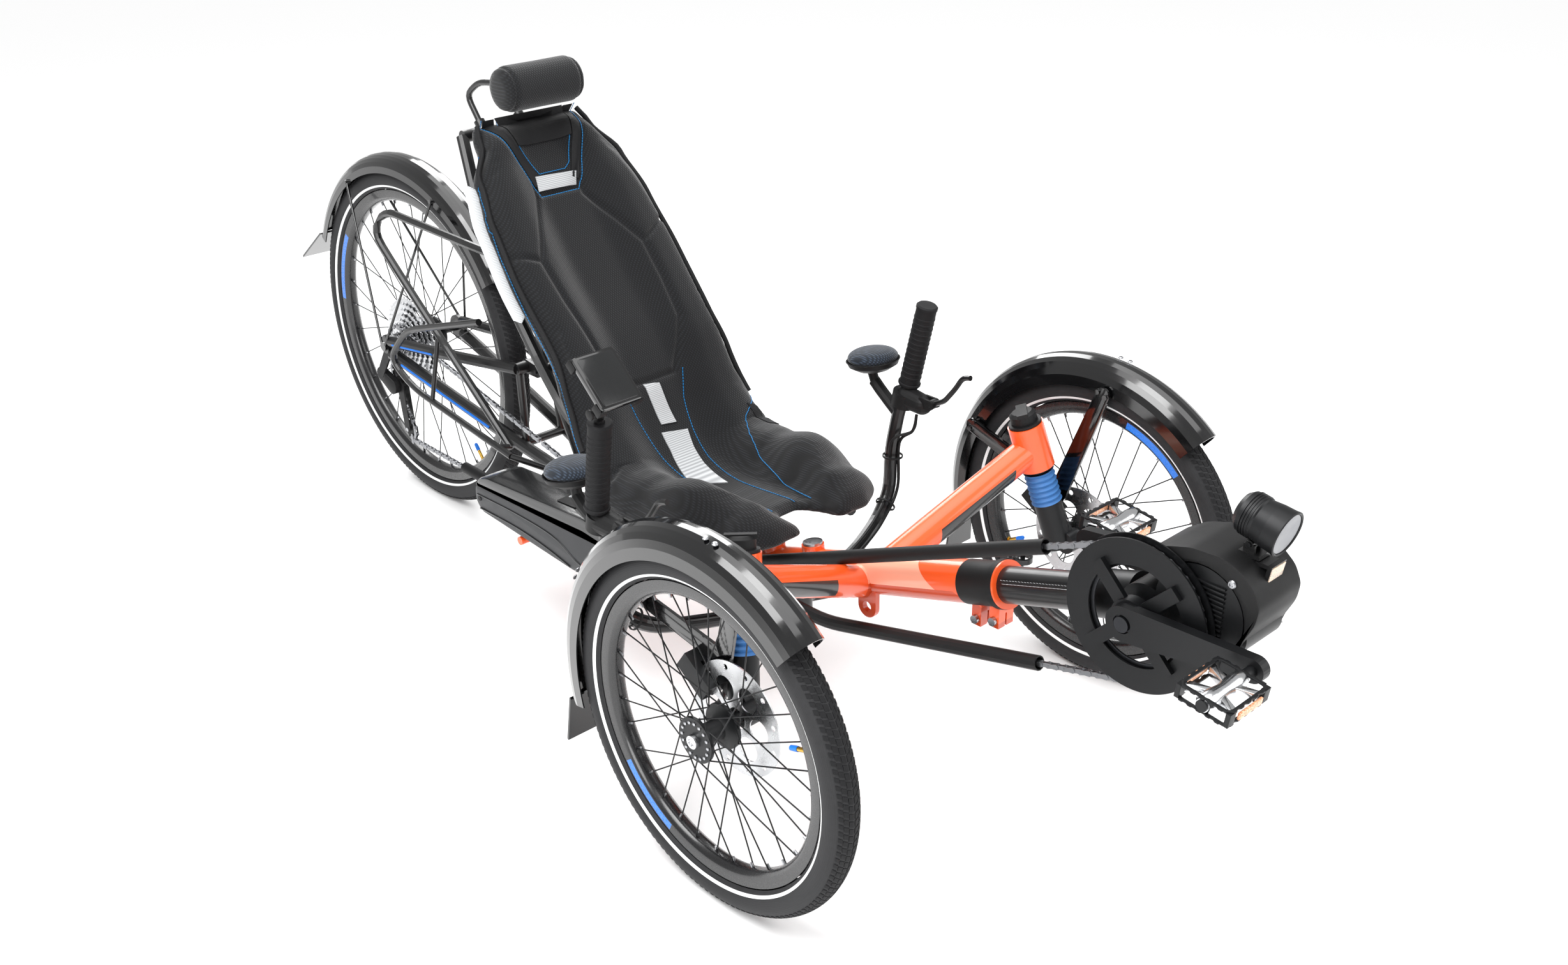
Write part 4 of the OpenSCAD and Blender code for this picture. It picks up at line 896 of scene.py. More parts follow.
@dataclass
class Seat:
    """Mesh seat cover over its rails, headrest, piping, webbing and tapes."""

    line: SeatLine = field(default_factory=SeatLine)
    core_lift: float = -6.0
    rows: int = 96
    columns: int = 48
    channel_depth: float = 5.5
    channel_half: float = 4.0
    body: str = "frame"
    cover: bpy.types.Object | None = None

    def front_end(self, y: float) -> float:
        """x of the front edge: two thigh rests with a notch between them."""
        side = abs(y)
        notch = 76 * smooth(side, 12, 62)
        corner = 46 * smooth(side, 112, 172)
        return -268 + notch - corner

    def build(self) -> None:
        """Makes and fills the cover, then presses its channels in and lays the trim on it."""
        points, faces = [], []
        total = self.line.lengths[-1]
        for side in (1, -1):
            for i in range(self.rows + 1):
                for j in range(self.columns + 1):
                    points.append(self.surface(i / self.rows, 2 * j / self.columns - 1, side, total))
        width = self.columns + 1
        for layer in range(2):
            base = layer * (self.rows + 1) * width
            for i in range(self.rows):
                for j in range(self.columns):
                    a = base + i * width + j
                    faces.append((a, a + 1, a + width + 1, a + width))
        self.cover = mesh_piece("seat_cover", points, faces, Look.MESH.value, 80)
        puff(self.cover, 5.5, 4.0, 7.0)
        self.press_channels()
        paint(self.cover.data, Look.MESH.value)
        put(self.cover, self.body, "seat_mesh", "seat_back_pad", "seat_base_pad")
        self.trim()

    def surface(self, t: float, v: float, side: int, total: float) -> Vector:
        """Point of the unfilled cover: side 1 is the sitting face and -1 the back."""
        edge_y = v * 150
        end = total - max(0.0, (SEAT_LINE[-1][0] - self.front_end(edge_y)))
        s = t * end
        y = v * table_value(HALF_WIDTH, s)
        rise = table_value(SIDE_RISE, s)
        peak = smooth(abs(v), 0.22, 0.62) * (1 - 0.35 * smooth(abs(v), 0.72, 1.0))
        crown = 3.0 * (1 - v * v)
        top = rise * peak + crown + 4
        across = (1 - abs(v)) * table_value(HALF_WIDTH, s)
        margin = min(across, s, end - s)
        round_off = math.sqrt(max(0.0, 1 - (1 - min(1.0, margin / 20)) ** 2))
        under = -16 if s < 470 else -16 + 12 * smooth(s, 470, 600)
        middle = (top + under) / 2 if s < 560 else (top * 0.35 + under * 0.65)
        lift = middle + (top - middle) * round_off if side > 0 else middle + (under - middle) * round_off
        return self.line.place(s, y, lift)

    def press_channels(self) -> None:
        """Presses the sewn channels and the yoke's outline into the sitting face."""
        lines = [*CHANNELS, YOKE]
        segments = [(a, b) for route in lines for a, b in zip(route, route[1:])]
        for vertex in self.cover.data.vertices:
            s, y, lift = self.line.locate(vertex.co)
            if lift < -4 or s > 500:
                continue
            gap = 1e9
            for (s0, y0), (s1, y1) in segments:
                ds, dy = s1 - s0, y1 - y0
                t = max(0.0, min(1.0, ((s - s0) * ds + (y - y0) * dy) / (ds * ds + dy * dy)))
                gap = min(gap, (s - s0 - ds * t) ** 2 + (y - y0 - dy * t) ** 2)
            if gap < (4 * self.channel_half) ** 2:
                depth = self.channel_depth * math.exp(-gap / self.channel_half**2 / 1.6)
                _, _, nx, nz = self.line.frame_at(s)
                vertex.co -= Vector((nx, 0, nz)) * depth * MM

    def cover_tree(self) -> BVHTree:
        """Search tree of the cover's faces."""
        mesh = self.cover.data
        return BVHTree.FromPolygons([v.co for v in mesh.vertices], [p.vertices for p in mesh.polygons])

    def drape(self, route: Sequence[tuple[float, float]], lift: float, step: float = 6.0) -> list[Vector]:
        """Lays a route of (length, y) pairs on the cover's sitting face.

        Args:
            route: corners in millimetres.
            lift: height over the fabric in millimetres.
            step: spacing of the points.

        Returns:
            Points in metres.
        """
        tree = self.cover_tree()
        out = []
        for (s0, y0), (s1, y1) in zip(route, route[1:]):
            count = max(1, int(math.hypot(s1 - s0, y1 - y0) / step))
            for k in range(count):
                s, y = s0 + (s1 - s0) * k / count, y0 + (y1 - y0) * k / count
                out.append(self.on_cover(tree, s, y, lift))
        out.append(self.on_cover(tree, *route[-1], lift))
        return out

    def on_cover(self, tree: BVHTree, s: float, y: float, lift: float) -> Vector:
        """Point over the cover at a length and y."""
        _, _, nx, nz = self.line.frame_at(s)
        down = -Vector((nx, 0, nz))
        start = self.line.place(s, y, 140)
        hit = tree.ray_cast(start, down)[0]
        return (hit or self.line.place(s, y, 10)) - down * lift * MM

    def ribbon(self, name: str, left: Sequence[tuple[float, float]], right: Sequence[tuple[float, float]],
               look: Finish, thick: float = 1.6, lift: float = 1.2) -> bpy.types.Object:
        """Flat strip of webbing laid on the cover between two edge routes, in millimetres."""
        columns = 7
        tree = self.cover_tree()
        rows = []
        for (s0, y0), (s1, y1), (s2, y2), (s3, y3) in zip(left, left[1:], right, right[1:]):
            steps = max(2, int(max(math.hypot(s1 - s0, y1 - y0), math.hypot(s3 - s2, y3 - y2)) / 6))
            for k in range(steps):
                t = k / steps
                rows.append(((s0 + (s1 - s0) * t, y0 + (y1 - y0) * t), (s2 + (s3 - s2) * t, y2 + (y3 - y2) * t)))
        rows.append((left[-1], right[-1]))
        points = []
        for high in (lift + thick, lift - 0.6):
            for (sa, ya), (sb, yb) in rows:
                for c in range(columns):
                    t = c / (columns - 1)
                    points.append(self.on_cover(tree, sa + (sb - sa) * t, ya + (yb - ya) * t, high))
        count = len(rows)
        faces = []
        for layer in range(2):
            base = layer * count * columns
            for i in range(count - 1):
                for c in range(columns - 1):
                    a = base + i * columns + c
                    faces.append((a, a + 1, a + columns + 1, a + columns))
        other = count * columns
        for i in range(count - 1):
            for c in (0, columns - 1):
                a = i * columns + c
                faces.append((a, a + columns, a + columns + other, a + other))
        for i in (0, count - 1):
            for c in range(columns - 1):
                a = i * columns + c
                faces.append((a, a + 1, a + 1 + other, a + other))
        return put(mesh_piece(name, points, faces, look), self.body, "seat_mesh")

    def trim(self) -> None:
        """Lays on the yoke webbing, tapes, edge binding and blue stitches."""
        self.ribbon("yoke_right", ((4, -84), (60, -66), (99, -52), (128, -45)),
                    ((4, -64), (60, -50), (99, -36), (124, -30)), Look.EDGE.value)
        self.ribbon("yoke_left", ((4, 90), (60, 70), (99, 54), (128, 40)),
                    ((4, 70), (60, 54), (99, 38), (124, 26)), Look.EDGE.value)
        self.ribbon("yoke_panel", ((3, -62), (58, -49)), ((3, 68), (58, 53)), Look.EDGE.value, 1.8, 1.6)
        self.ribbon("yoke_tape", ((112, -40), (136, -42)), ((116, 40), (138, 30)), Look.TAPE.value, 1.0, 3.0)
        self.ribbon("centre_tape_upper", ((481, -20), (520, -18), (553, -17)), ((486, 8), (522, 9), (557, 11)),
                    Look.TAPE.value, 1.2, 1.0)
        self.ribbon("centre_tape_lower", ((566, -24), (600, -26), (640, -34), (680, -42)),
                    ((575, 24), (610, 16), (650, 10), (716, 6)), Look.TAPE.value, 1.2, 1.0)
        self.ribbon("side_patch_left", ((575, 138), (650, 142)), ((585, 158), (655, 160)), Look.EDGE.value, 1.0,
                    0.8)
        stitches = [
            ("stitches_yoke_right", ((4, -87), (60, -69), (99, -55), (132, -47), (145, -41), (145, 32), (130, 44),
                                     (99, 57), (60, 73), (4, 93)), 88),
            ("stitches_yoke_inner", ((6, -60), (60, -46), (99, -32), (108, -28), (108, 22), (99, 34), (60, 50),
                                     (6, 66)), 66),
            ("stitches_centre", ((478, -86), (500, -60), (560, -52), (620, -46), (700, -36), (790, -28),
                                 (850, -24)), 72),
            ("stitches_centre_left", ((478, 58), (520, 44), (580, 34), (640, 27), (720, 24), (850, 22)), 72),
            ("stitches_thigh_left", ((560, 168), (600, 120), (650, 96), (720, 72), (800, 50), (868, 40)), 74),
            ("stitches_side_right", ((60, -118), (120, -144), (220, -158), (330, -162), (440, -162), (520, -172),
                                     (600, -178)), 110),
        ]
        for name, route, count in stitches:
            thread = slab(name + "_item", oblong(1.9, 0.5), 0.9, Matrix.Identity(4), Look.STITCH.value)
            sewn = Repeat().along(name, self.drape(route, 0.9), thread, count, Look.STITCH.value)
            put(sewn, self.body, "seat_mesh")
        edge = [(s, -table_value(HALF_WIDTH, s) + 8) for s in range(10, 560, 10)]
        for sign, label in ((1, "right"), (-1, "left")):
            route = [self.line.place(s, sign * (y + 1), 4 + 0.5 * table_value(SIDE_RISE, s)) for s, y in edge]
            piping = tube("edge_binding_" + label, route, 4.2 * MM, Look.EDGE.value, 10)
            put(piping, self.body, "seat_mesh")
        tape = [self.line.place(s, -table_value(HALF_WIDTH, s) - 2.2, -2) for s in range(96, 330, 8)]
        strip = tube("side_tape_right", tape, [1 * MM] + [11 * MM] * (len(tape) - 2) + [1 * MM],
                     Look.WHITE_TAPE.value, 14, 0.12)
        put(strip, self.body, "seat_mesh")


@dataclass
class Headrest:
    """Foam roll in a spacer-mesh sleeve with sewn ends."""

    body: str = "headrest"

    def build(self) -> None:
        """Fills the roll and sews its end seams."""
        low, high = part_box("headrest_pad")
        centre = (low + high) / 2
        radius = (high.z - low.z) / 2 / MM - 3
        half = (high.y - low.y) / 2 / MM - 2
        steps = [(0, half), (radius * 0.55, half - 1), (radius * 0.86, half - 6), (radius * 0.98, half - 16)]
        profile = [*steps, (radius * 0.97, 0)] + [(r, -h) for r, h in reversed(steps)]
        roll = lathe("headrest_roll", profile, centre, Look.MESH.value, 64, closed=False)
        puff(roll, 4.5, 4.0, 4.0)
        for vertex in roll.data.vertices:
            off = vertex.co - centre
            end = abs(abs(off.y) - (half - 13) * MM)
            ring = math.exp(-((end / (2.2 * MM)) ** 2)) * 2.4 * MM
            around = Vector((off.x, 0, off.z))
            if around.length > 1e-4:
                vertex.co -= around.normalized() * ring
            vertex.co.z -= 0.04 * off.z
        paint(roll.data, Look.MESH.value)
        put(roll, self.body, "seat_mesh", "headrest_pad")


# ---------------------------------------------------------------- wheels


@dataclass
class Wheel:
    """One wheel: tyre with tread and reflecting line, decorated rim, valve, nipples, spokes and hub."""

    label: str
    tyre_node: str
    wheel_node: str
    joint: str
    body: str
    radius: float
    decal_turn: float
    spokes: int = 32
    outer_side: int = -1
    flange: tuple[float, float] = (-19, 24)

    @property
    def bead(self) -> float:
        """Radius at which the tyre sits on the rim, in millimetres."""
        return self.radius - TYRE_SECTION

    def build(self) -> None:
        """Makes the tyre, the rim and the small parts, all on the wheel's own body."""
        centre = joint_at(self.joint)
        put(self.tyre(centre), self.body, "tyre_rubber", self.tyre_node)
        put(self.tread(centre), self.body, "tyre_rubber")
        put(self.rim(centre), self.body, "black_metal", self.wheel_node)
        put(self.nipples(centre), self.body, "bright_steel")
        put(self.valve(centre), self.body, "bright_steel")
        for piece in self.spokes_and_hub(centre):
            put(piece, self.body, "black_metal")

    def tyre(self, centre: Vector) -> bpy.types.Object:
        """Casing with its beads and an open inside."""
        middle = self.radius - TYRE_SECTION / 2
        outer = [(middle + 22.7 * math.cos(math.radians(a)), 22.7 * math.sin(math.radians(a)))
                 for a in range(-144, 145, 8)]
        inner = [(middle + 19.5 * math.cos(math.radians(a)), 19.5 * math.sin(math.radians(a)))
                 for a in range(144, -145, -16)]
        bead = self.bead
        look = TyreRubber("rubber_" + self.label, "#161617", 0.62, centre=tuple(centre),
                          line_r=(bead + 11.5) * MM, line_half=0.0019)
        return lathe("tyre_" + self.label, outer + inner, centre, look, 192)

    def tread(self, centre: Vector) -> bpy.types.Object:
        """Slanted blocks in two rows, parted by fine grooves."""
        points, faces = [], []
        for hand in (1, -1):
            for row, (low, high) in enumerate(((3, 17), (19, 34), (36, 50))):
                steps = 4
                first = len(points)
                for lift in (23.45, 22.4):
                    for k in range(steps + 1):
                        phi = math.radians(low + (high - low) * k / steps)
                        shift = 0.16 * (low + (high - low) * k / steps) - 3.5 + 2.2 * row
                        for edge in (-4.3, 4.3):
                            trim = 0.5 if lift > 23 else 0.0
                            x = shift + edge * (1 - 0.12 * row) - math.copysign(trim, edge)
                            points.append((x * MM, hand * lift * math.sin(phi) * MM, lift * math.cos(phi) * MM))
                half = 2 * (steps + 1)
                for k in range(steps):
                    a = first + 2 * k
                    faces += [(a, a + 1, a + 3, a + 2), (a, a + 2, a + 2 + half, a + half),
                              (a + 1, a + 1 + half, a + 3 + half, a + 3)]
                for a in (first, first + 2 * steps):
                    faces.append((a, a + 1, a + 1 + half, a + half))
        block = mesh_piece("block", points, faces, Look.RUBBER.value)
        route = ring_route(centre, self.radius - TYRE_SECTION / 2, 240)
        count = round(2 * math.pi * self.radius / 10.6)
        return Repeat().along("tread_" + self.label, route, block, count, Look.RUBBER.value, (0, -1, 0), True)

    def rim(self, centre: Vector) -> bpy.types.Object:
        """Double-wall rim with hooked edges."""
        bead = self.bead
        profile = [(bead - 18, -4), (bead - 17, -7), (bead - 12, -12.4), (bead - 9, -13.2), (bead + 3.4, -13.4),
                   (bead + 4, -12.6), (bead + 3.6, -11.2), (bead - 4, -10), (bead - 6, -4), (bead - 6, 4),
                   (bead - 4, 10), (bead + 3.6, 11.2), (bead + 4, 12.6), (bead + 3.4, 13.4), (bead - 9, 13.2),
                   (bead - 12, 12.4), (bead - 17, 7), (bead - 18, 4)]
        look = RimFinish("rim_" + self.label, "#0E0E10", 0.28, coat=0.4, centre=tuple(centre),
                         decal_r=(bead - 4.5) * MM, turn=math.radians(self.decal_turn))
        return lathe("rim_" + self.label, profile, centre, look, 160)

    def nipples(self, centre: Vector) -> bpy.types.Object:
        """Short brass nipples where the spokes enter the rim."""
        item = lathe("nipple_item", [(0.2, -4), (1.6, -4), (1.9, 0), (1.9, 4), (0.2, 4)], Vector(),
                     Look.BOLT.value, 8, Vector((0, 0, 1)), closed=False)
        route = ring_route(centre, self.bead - 20.5, 256)
        return Repeat().along("nipples_" + self.label, route, item, self.spokes, Look.BOLT.value, (0, -1, 0),
                              True)

    def valve(self, centre: Vector) -> bpy.types.Object:
        """Valve stem with its knurled nut and blue cap."""
        turn = math.radians(self.decal_turn + 147)
        out = Vector((math.cos(turn), 0, math.sin(turn)))
        foot = centre + out * (self.radius - 64) * MM
        stem = lathe("stem", [(0.3, 0), (3, 0), (3, 22), (0.3, 22)], foot, Look.BRASS.value, 14, -out,
                     closed=False)
        nut = lathe("nut", [(1, -1), (5, -1), (5, 2), (1, 2)], foot, Look.BRASS.value, 8, -out, closed=False)
        cap = lathe("cap", [(0.3, 20), (3.6, 20), (3.8, 24), (3.4, 33), (1.5, 35), (0.2, 35)], foot,
                    Look.BLUE.value, 14, -out, closed=False)
        return joined("valve_" + self.label, [stem, nut, cap])

    def spokes_and_hub(self, centre: Vector) -> list[bpy.types.Object]:
        """Crossed spokes with elbows, hub barrel, flanges, end caps and bright centre discs."""
        flange_r = 31.0
        made = []
        for z in self.flange:
            lean = 62 if z == self.flange[0] else -62
            side = -z
            strands = []
            for i in range(self.spokes // 2):
                a = 2 * math.pi * (2 * i + (0 if z == self.flange[0] else 1)) / self.spokes
                twist = math.radians(lean if i % 2 == 0 else -lean)
                start = centre + Vector((flange_r * 0.9 * math.cos(a + twist), side + (1.6 if i % 2 else -1.6),
                                         flange_r * 0.9 * math.sin(a + twist))) * MM
                end_r = self.bead - 18
                end = centre + Vector((end_r * math.cos(a), math.copysign(2.2, side), end_r * math.sin(a))) * MM
                strands.append(tube("strand", [start, end], 1.0 * MM, Look.SATIN.value, 8))
            made.append(joined(f"spokes_{self.label}_{'a' if z == self.flange[0] else 'b'}", strands))
        low, high = min(-v for v in self.flange), max(-v for v in self.flange)
        barrel = [(8, low - 3), (flange_r, low - 3), (flange_r + 0.4, low), (flange_r, low + 2), (20, low + 4),
                  (15, low + 9), (14.2, 0), (15, high - 9), (20, high - 4), (flange_r, high - 2),
                  (flange_r + 0.4, high), (flange_r, high + 3), (8, high + 3)]
        made.append(lathe("hub_" + self.label, barrel, centre, Look.SATIN.value, 48))
        face = (high if self.outer_side > 0 else low) + self.outer_side * 3
        cap = [(0.4, face), (9, face), (10, face + self.outer_side * 3), (9, face + self.outer_side * 6.5),
               (5.5, face + self.outer_side * 7), (5, face + self.outer_side * 5),
               (0.4, face + self.outer_side * 5)]
        made.append(lathe("hub_cap_" + self.label, cap, centre, Look.ALLOY.value, 32, closed=False))
        bolt = lathe("bolt_item", [(0.3, -1), (2.4, -1), (2.4, 1.2), (1.6, 1.8), (0.3, 1.8)], Vector(),
                     Look.BOLT.value, 10, Vector((0, 1, 0)), closed=False)
        route = ring_route(centre, 24.5, 96, face)
        made.append(Repeat().along("flange_bolts_" + self.label, route, bolt, 16, Look.BOLT.value,
                                   (0, float(self.outer_side), 0), True))
        return made


# ---------------------------------------------------------------- drive train


def teeth_outline(root: float, tip: float, count: int) -> list[tuple[float, float]]:
    """Outline of a sprocket in millimetres."""
    out = []
    for i in range(count):
        for part, r in ((0.0, root), (0.28, root), (0.42, tip), (0.58, tip), (0.72, root)):
            a = 2 * math.pi * (i + part) / count
            out.append((r * math.cos(a), r * math.sin(a)))
    return out


@dataclass
class Drive:
    """Chainring, cassette and roller chain."""

    pitch: float = 12.7
    ring_r: float = 89.0
    cog_r: float = 34.4
    chain_y: float = -54.0

    def build(self) -> None:
        """Makes the toothed wheels and lays the chain on them."""
        crank, rear = joint_at("crank_spin"), joint_at("rear_wheel_spin")
        lift = Vector((0, self.chain_y * MM, 0))
        ring = slab("chainring_teeth", teeth_outline(self.ring_r - 4.4, self.ring_r - 0.8, 44), 2.6,
                    across_y(crank + lift), Look.DARK_STEEL.value, 0.3, [circle(62, 60)])
        put(ring, "crank", "bolt_steel", "chainring")
        cogs = []
        for i, r in enumerate((84, 74, 64, 55, 47, 40, self.cog_r - 1.4, 25)):
            y = -(27 + 4.5 * i)
            holes = [circle(12, 16, (r - 22) * math.cos(a), (r - 22) * math.sin(a))
                     for a in (math.radians(60 * k + 12 * i) for k in range(6))] if i < 3 else []
            holes = [circle(17.2, 32)] + holes
            cogs.append(slab("cog", teeth_outline(r - 3.4, r, round(2 * math.pi * r / self.pitch)), 1.8,
                             across_y(rear + Vector((0, y * MM, 0))), Look.STEEL.value, 0.2, holes))
        core = lathe("core", [(17.2, -26), (21, -26), (21, -60), (17.2, -60)], rear, Look.DARK_STEEL.value, 40)
        ring_nut = lathe("nut", [(12, -60), (20, -60), (19.5, -62.5), (13, -62.5)], rear, Look.BOLT.value, 32)
        block = joined("cassette_block", [*cogs, core, ring_nut])
        put(block, "cassette_block", "bright_steel", "cassette")
        self.chain(crank, rear)

    def link(self) -> bpy.types.Object:
        """One link: two waisted side plates and a roller."""
        half = self.pitch / 2
        outline = []
        for cx, start in ((half, -90), (-half, 90)):
            outline += [(cx + 4.1 * math.cos(math.radians(a)), 4.1 * math.sin(math.radians(a)))
                        for a in range(start + 20, start + 161, 28)]
            outline.append((0, 2.9 if start < 0 else -2.9))
        parts = [slab("plate", outline, 0.9, across_y(Vector((0, y * MM, 0))), Look.CHAIN.value)
                 for y in (-2.8, 2.8)]
        parts.append(lathe("roller", [(0.4, -2.3), (3.7, -2.3), (3.7, 2.3), (0.4, 2.3)],
                           Vector((half * MM, 0, 0)), Look.CHAIN.value, 8, closed=False))
        parts.append(lathe("rivet", [(0.3, -3.6), (1.7, -3.6), (1.7, 3.6), (0.3, 3.6)],
                           Vector((-half * MM, 0, 0)), Look.CHAIN.value, 6, closed=False))
        return joined("link_item", parts)

    def run(self, name: str, route: list[Vector], body: str, *nodes: str) -> bpy.types.Object:
        """A stretch of chain along a route, in the place of the given CAD nodes."""
        length = sum((b - a).length for a, b in zip(route, route[1:])) / MM
        made = Repeat().along(name, route, self.link(), round(length / self.pitch) + 1, Look.CHAIN.value,
                              narrow=0.3)
        return put(made, body, "chain_steel", *nodes)

    def arc(self, centre: Vector, radius: float, start: float, sweep: float) -> list[Vector]:
        """Points of an arc in the chain's plane, angles in degrees from forward to up."""
        steps = max(4, int(abs(sweep) / 6))
        return [centre + Vector((radius * math.cos(math.radians(start + sweep * k / steps)), self.chain_y,
                                 radius * math.sin(math.radians(start + sweep * k / steps)))) * MM
                for k in range(steps + 1)]

    def chain(self, crank: Vector, rear: Vector) -> None:
        """Front loop, middle run under the idler, and rear loop through the derailleur."""
        upper, lower, slope = 23.4, 15.1, 11.8
        idler = joint_at("idler_spin") - Vector((0, self.chain_y * MM, 0))
        top = self.arc(crank, self.ring_r, -90 + lower, 180 - lower + upper)
        up = Vector((-math.cos(math.radians(upper)), 0, -math.sin(math.radians(upper)))) * MM
        low = Vector((-math.cos(math.radians(lower)), 0, -math.sin(math.radians(lower)))) * MM
        self.run("chain_loop_front", [top[0] + low * 245, *top, top[-1] + up * 190], "boom", "chain_front")
        under = self.arc(idler, 30, -90 + upper, -(upper + slope))
        back = Vector((-math.cos(math.radians(slope)), 0, math.sin(math.radians(slope)))) * MM
        self.run("chain_run_middle", [top[-1] + up * 755, *under, under[-1] + back * 392], "frame",
                 "chain_middle")
        over = self.arc(rear, self.cog_r, 90 - slope, 97.3)
        guide, tension = at(-1299, 0, 258), at(-1278, 0, 152)
        around_guide = self.arc(guide, 20, 150, 70)
        around_tension = self.arc(tension, 20, 25, -110)
        self.run("chain_loop_rear", [over[0] - back * 436, *over, *around_guide, *around_tension,
                                     at(-1040, self.chain_y, 131.5)], "swing", "chain_rear")
        self.run("chain_between_tubes", [at(-744, self.chain_y, 126.2), at(-700, self.chain_y, 127)], "frame")
        for name, hub in (("guide_pulley", guide), ("tension_pulley", tension)):
            made = slab(name, teeth_outline(17.5, 20.5, 11), 2.4,
                        across_y(hub + Vector((0, self.chain_y * MM, 0))), Look.NYLON.value, 0.3, [circle(4, 16)])
            pin = lathe("pin", [(0.4, self.chain_y - 8), (4, self.chain_y - 8), (4, self.chain_y + 8),
                                (0.4, self.chain_y + 8)], hub, Look.BOLT.value, 16, closed=False)
            put(joined(name, [made, pin]), "swing", "black_plastic")


# ---------------------------------------------------------------- motor, pedals and battery


def rounded(points: Sequence[tuple[float, float]], radius: float = 4.0,
            steps: int = 4) -> list[tuple[float, float]]:
    """Rounds the corners of an outline, radius in the outline's own unit."""
    out = []
    for before, here, after in zip([points[-1], *points[:-1]], points, [*points[1:], points[0]]):
        ends = []
        for other in (before, after):
            span = math.dist(here, other)
            share = min(radius / span, 0.45)
            ends.append((here[0] + (other[0] - here[0]) * share, here[1] + (other[1] - here[1]) * share))
        for k in range(steps + 1):
            t = k / steps
            out.append(tuple((1 - t) ** 2 * p + 2 * t * (1 - t) * q + t * t * r for p, q,
                             r in zip(ends[0], here, ends[1])))
    return out


def facing(origin: Vector, pitch: float) -> Matrix:
    """Places a plate flat, then tips it nose-down by pitch, in degrees."""
    return Matrix.Translation(origin) @ Matrix.Rotation(math.radians(pitch), 4, "Y")


@dataclass
class Motor:
    """Motor cover, cooling fins, bolts, boom markings and headlight details."""

    cover: tuple[tuple[float, float], ...] = ((352, 492), (372, 517), (400, 536), (432, 546), (470, 548),
                                              (495, 541), (516, 524), (526, 503), (523, 481), (512, 458),
                                              (505, 442))
    fin_count: int = 15

    def build(self) -> None:
        """Makes every piece that the boom carries."""
        under = [(450 + 60 * math.cos(math.radians(a)), 470 + 60 * math.sin(math.radians(a)))
                 for a in range(-24, 157, 12)]
        shell = slab("motor_shell", rounded(self.cover, 7) + under, 88, across_y(at(0, 0, 0)), Look.NYLON.value,
                     2.5)
        put(shell, "boom", "black_plastic", "motor_cover")
        for side, label in ((-42.6, "right"), (42.6, "left")):
            fin = slab("fin", oblong(1.2, 20), 5, Matrix.Identity(4), Look.SATIN.value, 0.5)
            made = Repeat().along("motor_fins_" + label, [at(462, side, 428), at(462, side, 510)], fin,
                                  self.fin_count, Look.SATIN.value, (1, 0, 0))
            put(made, "boom", "black_metal")
        bolts = [lathe("bolt", [(0.3, 0), (5.2, 0), (5.2, 2), (4.2, 3.4), (2.6, 3.6), (2.4, 2.2), (0.3, 2.2)],
                       at(x, y, z), Look.BOLT.value, 24, Vector((0, math.copysign(1, y), 0)), closed=False) for x,
                 z in ((490, 522), (392, 508)) for y in (-44, 44)]
        put(joined("motor_bolts", bolts), "boom", "bolt_steel")
        self.markings()
        self.lamp()

    def markings(self) -> None:
        """Orange edge ring, black band and the white length scale."""
        crank = joint_at("crank_spin")
        back = Vector(BOOM_BACK)
        band = lathe("boom_band", [(29.8, 248), (33.1, 248), (33.5, 248.5), (33.5, 257.6), (30.7, 258.8),
                                   (30.7, 312), (30.2, 313), (29.8, 313)], crank, Look.NYLON.value, 64, back)
        put(band, "frame", "black_plastic")
        up = Vector((0, 1, 0)).cross(back).normalized()
        if up.z < 0:
            up = -up
        out = (up * 0.55 + Vector((0, -0.83, 0))).normalized()
        line = [crank + back * s * MM + out * 24.87 * MM for s in (90, 236)]
        tick = slab("tick", oblong(0.6, 3.2), 0.3, Matrix.Identity(4), Look.WHITE_TAPE.value)
        scale = Repeat().along("boom_scale_ticks", line, tick, 30, Look.WHITE_TAPE.value, tuple(out))
        put(scale, "boom", "bright_steel")
        side = out.cross(back).normalized()
        rule = tube("boom_scale_rule", [p + (side * 4.2 - out * 0.63) * MM for p in line], 0.42 * MM,
                    Look.WHITE_TAPE.value, 8)
        put(rule, "boom", "bright_steel")

    def lamp(self) -> None:
        """Knurled band, bright bowl and cooling rings of the headlight."""
        axis = Vector(LAMP_AHEAD)
        foot = at(466, 0, 592)
        rings = [lathe("ring", [(25.4, s), (26.6, s + 0.6), (26.6, s + 1.7), (25.4, s + 2.3)], foot,
                       Look.SATIN.value, 64, axis) for s in (10, 13.4, 16.8, 20.2)]
        rings.append(lathe("bezel", [(25.2, 55), (28.3, 56), (28.5, 58.6), (27, 59.6), (25.2, 58.6)], foot,
                           Look.SATIN.value, 64, axis))
        put(joined("headlight_rings", rings), "headlight", "black_metal")
        bowl = lathe("headlight_bowl", [(0.3, 54.8), (6, 54.9), (14, 55.5), (24.6, 57.8), (24.6, 54.4),
                                        (0.3, 54.4)], foot, Look.CHAIN.value, 64, axis, closed=False)
        put(bowl, "headlight", "bright_steel")
        panel = slab("front_reflector", rounded(oblong(14, 15), 2), 2.0,
                     Matrix.Translation(at(515.6, 0, 525)) @ Matrix.Rotation(math.radians(100), 4, "Y")
                     @ Matrix.Rotation(math.pi / 2, 4, "Z"),
                     Look.WHITE_REFLECTOR.value, 0.6)
        put(panel, "boom", "lens_clear")


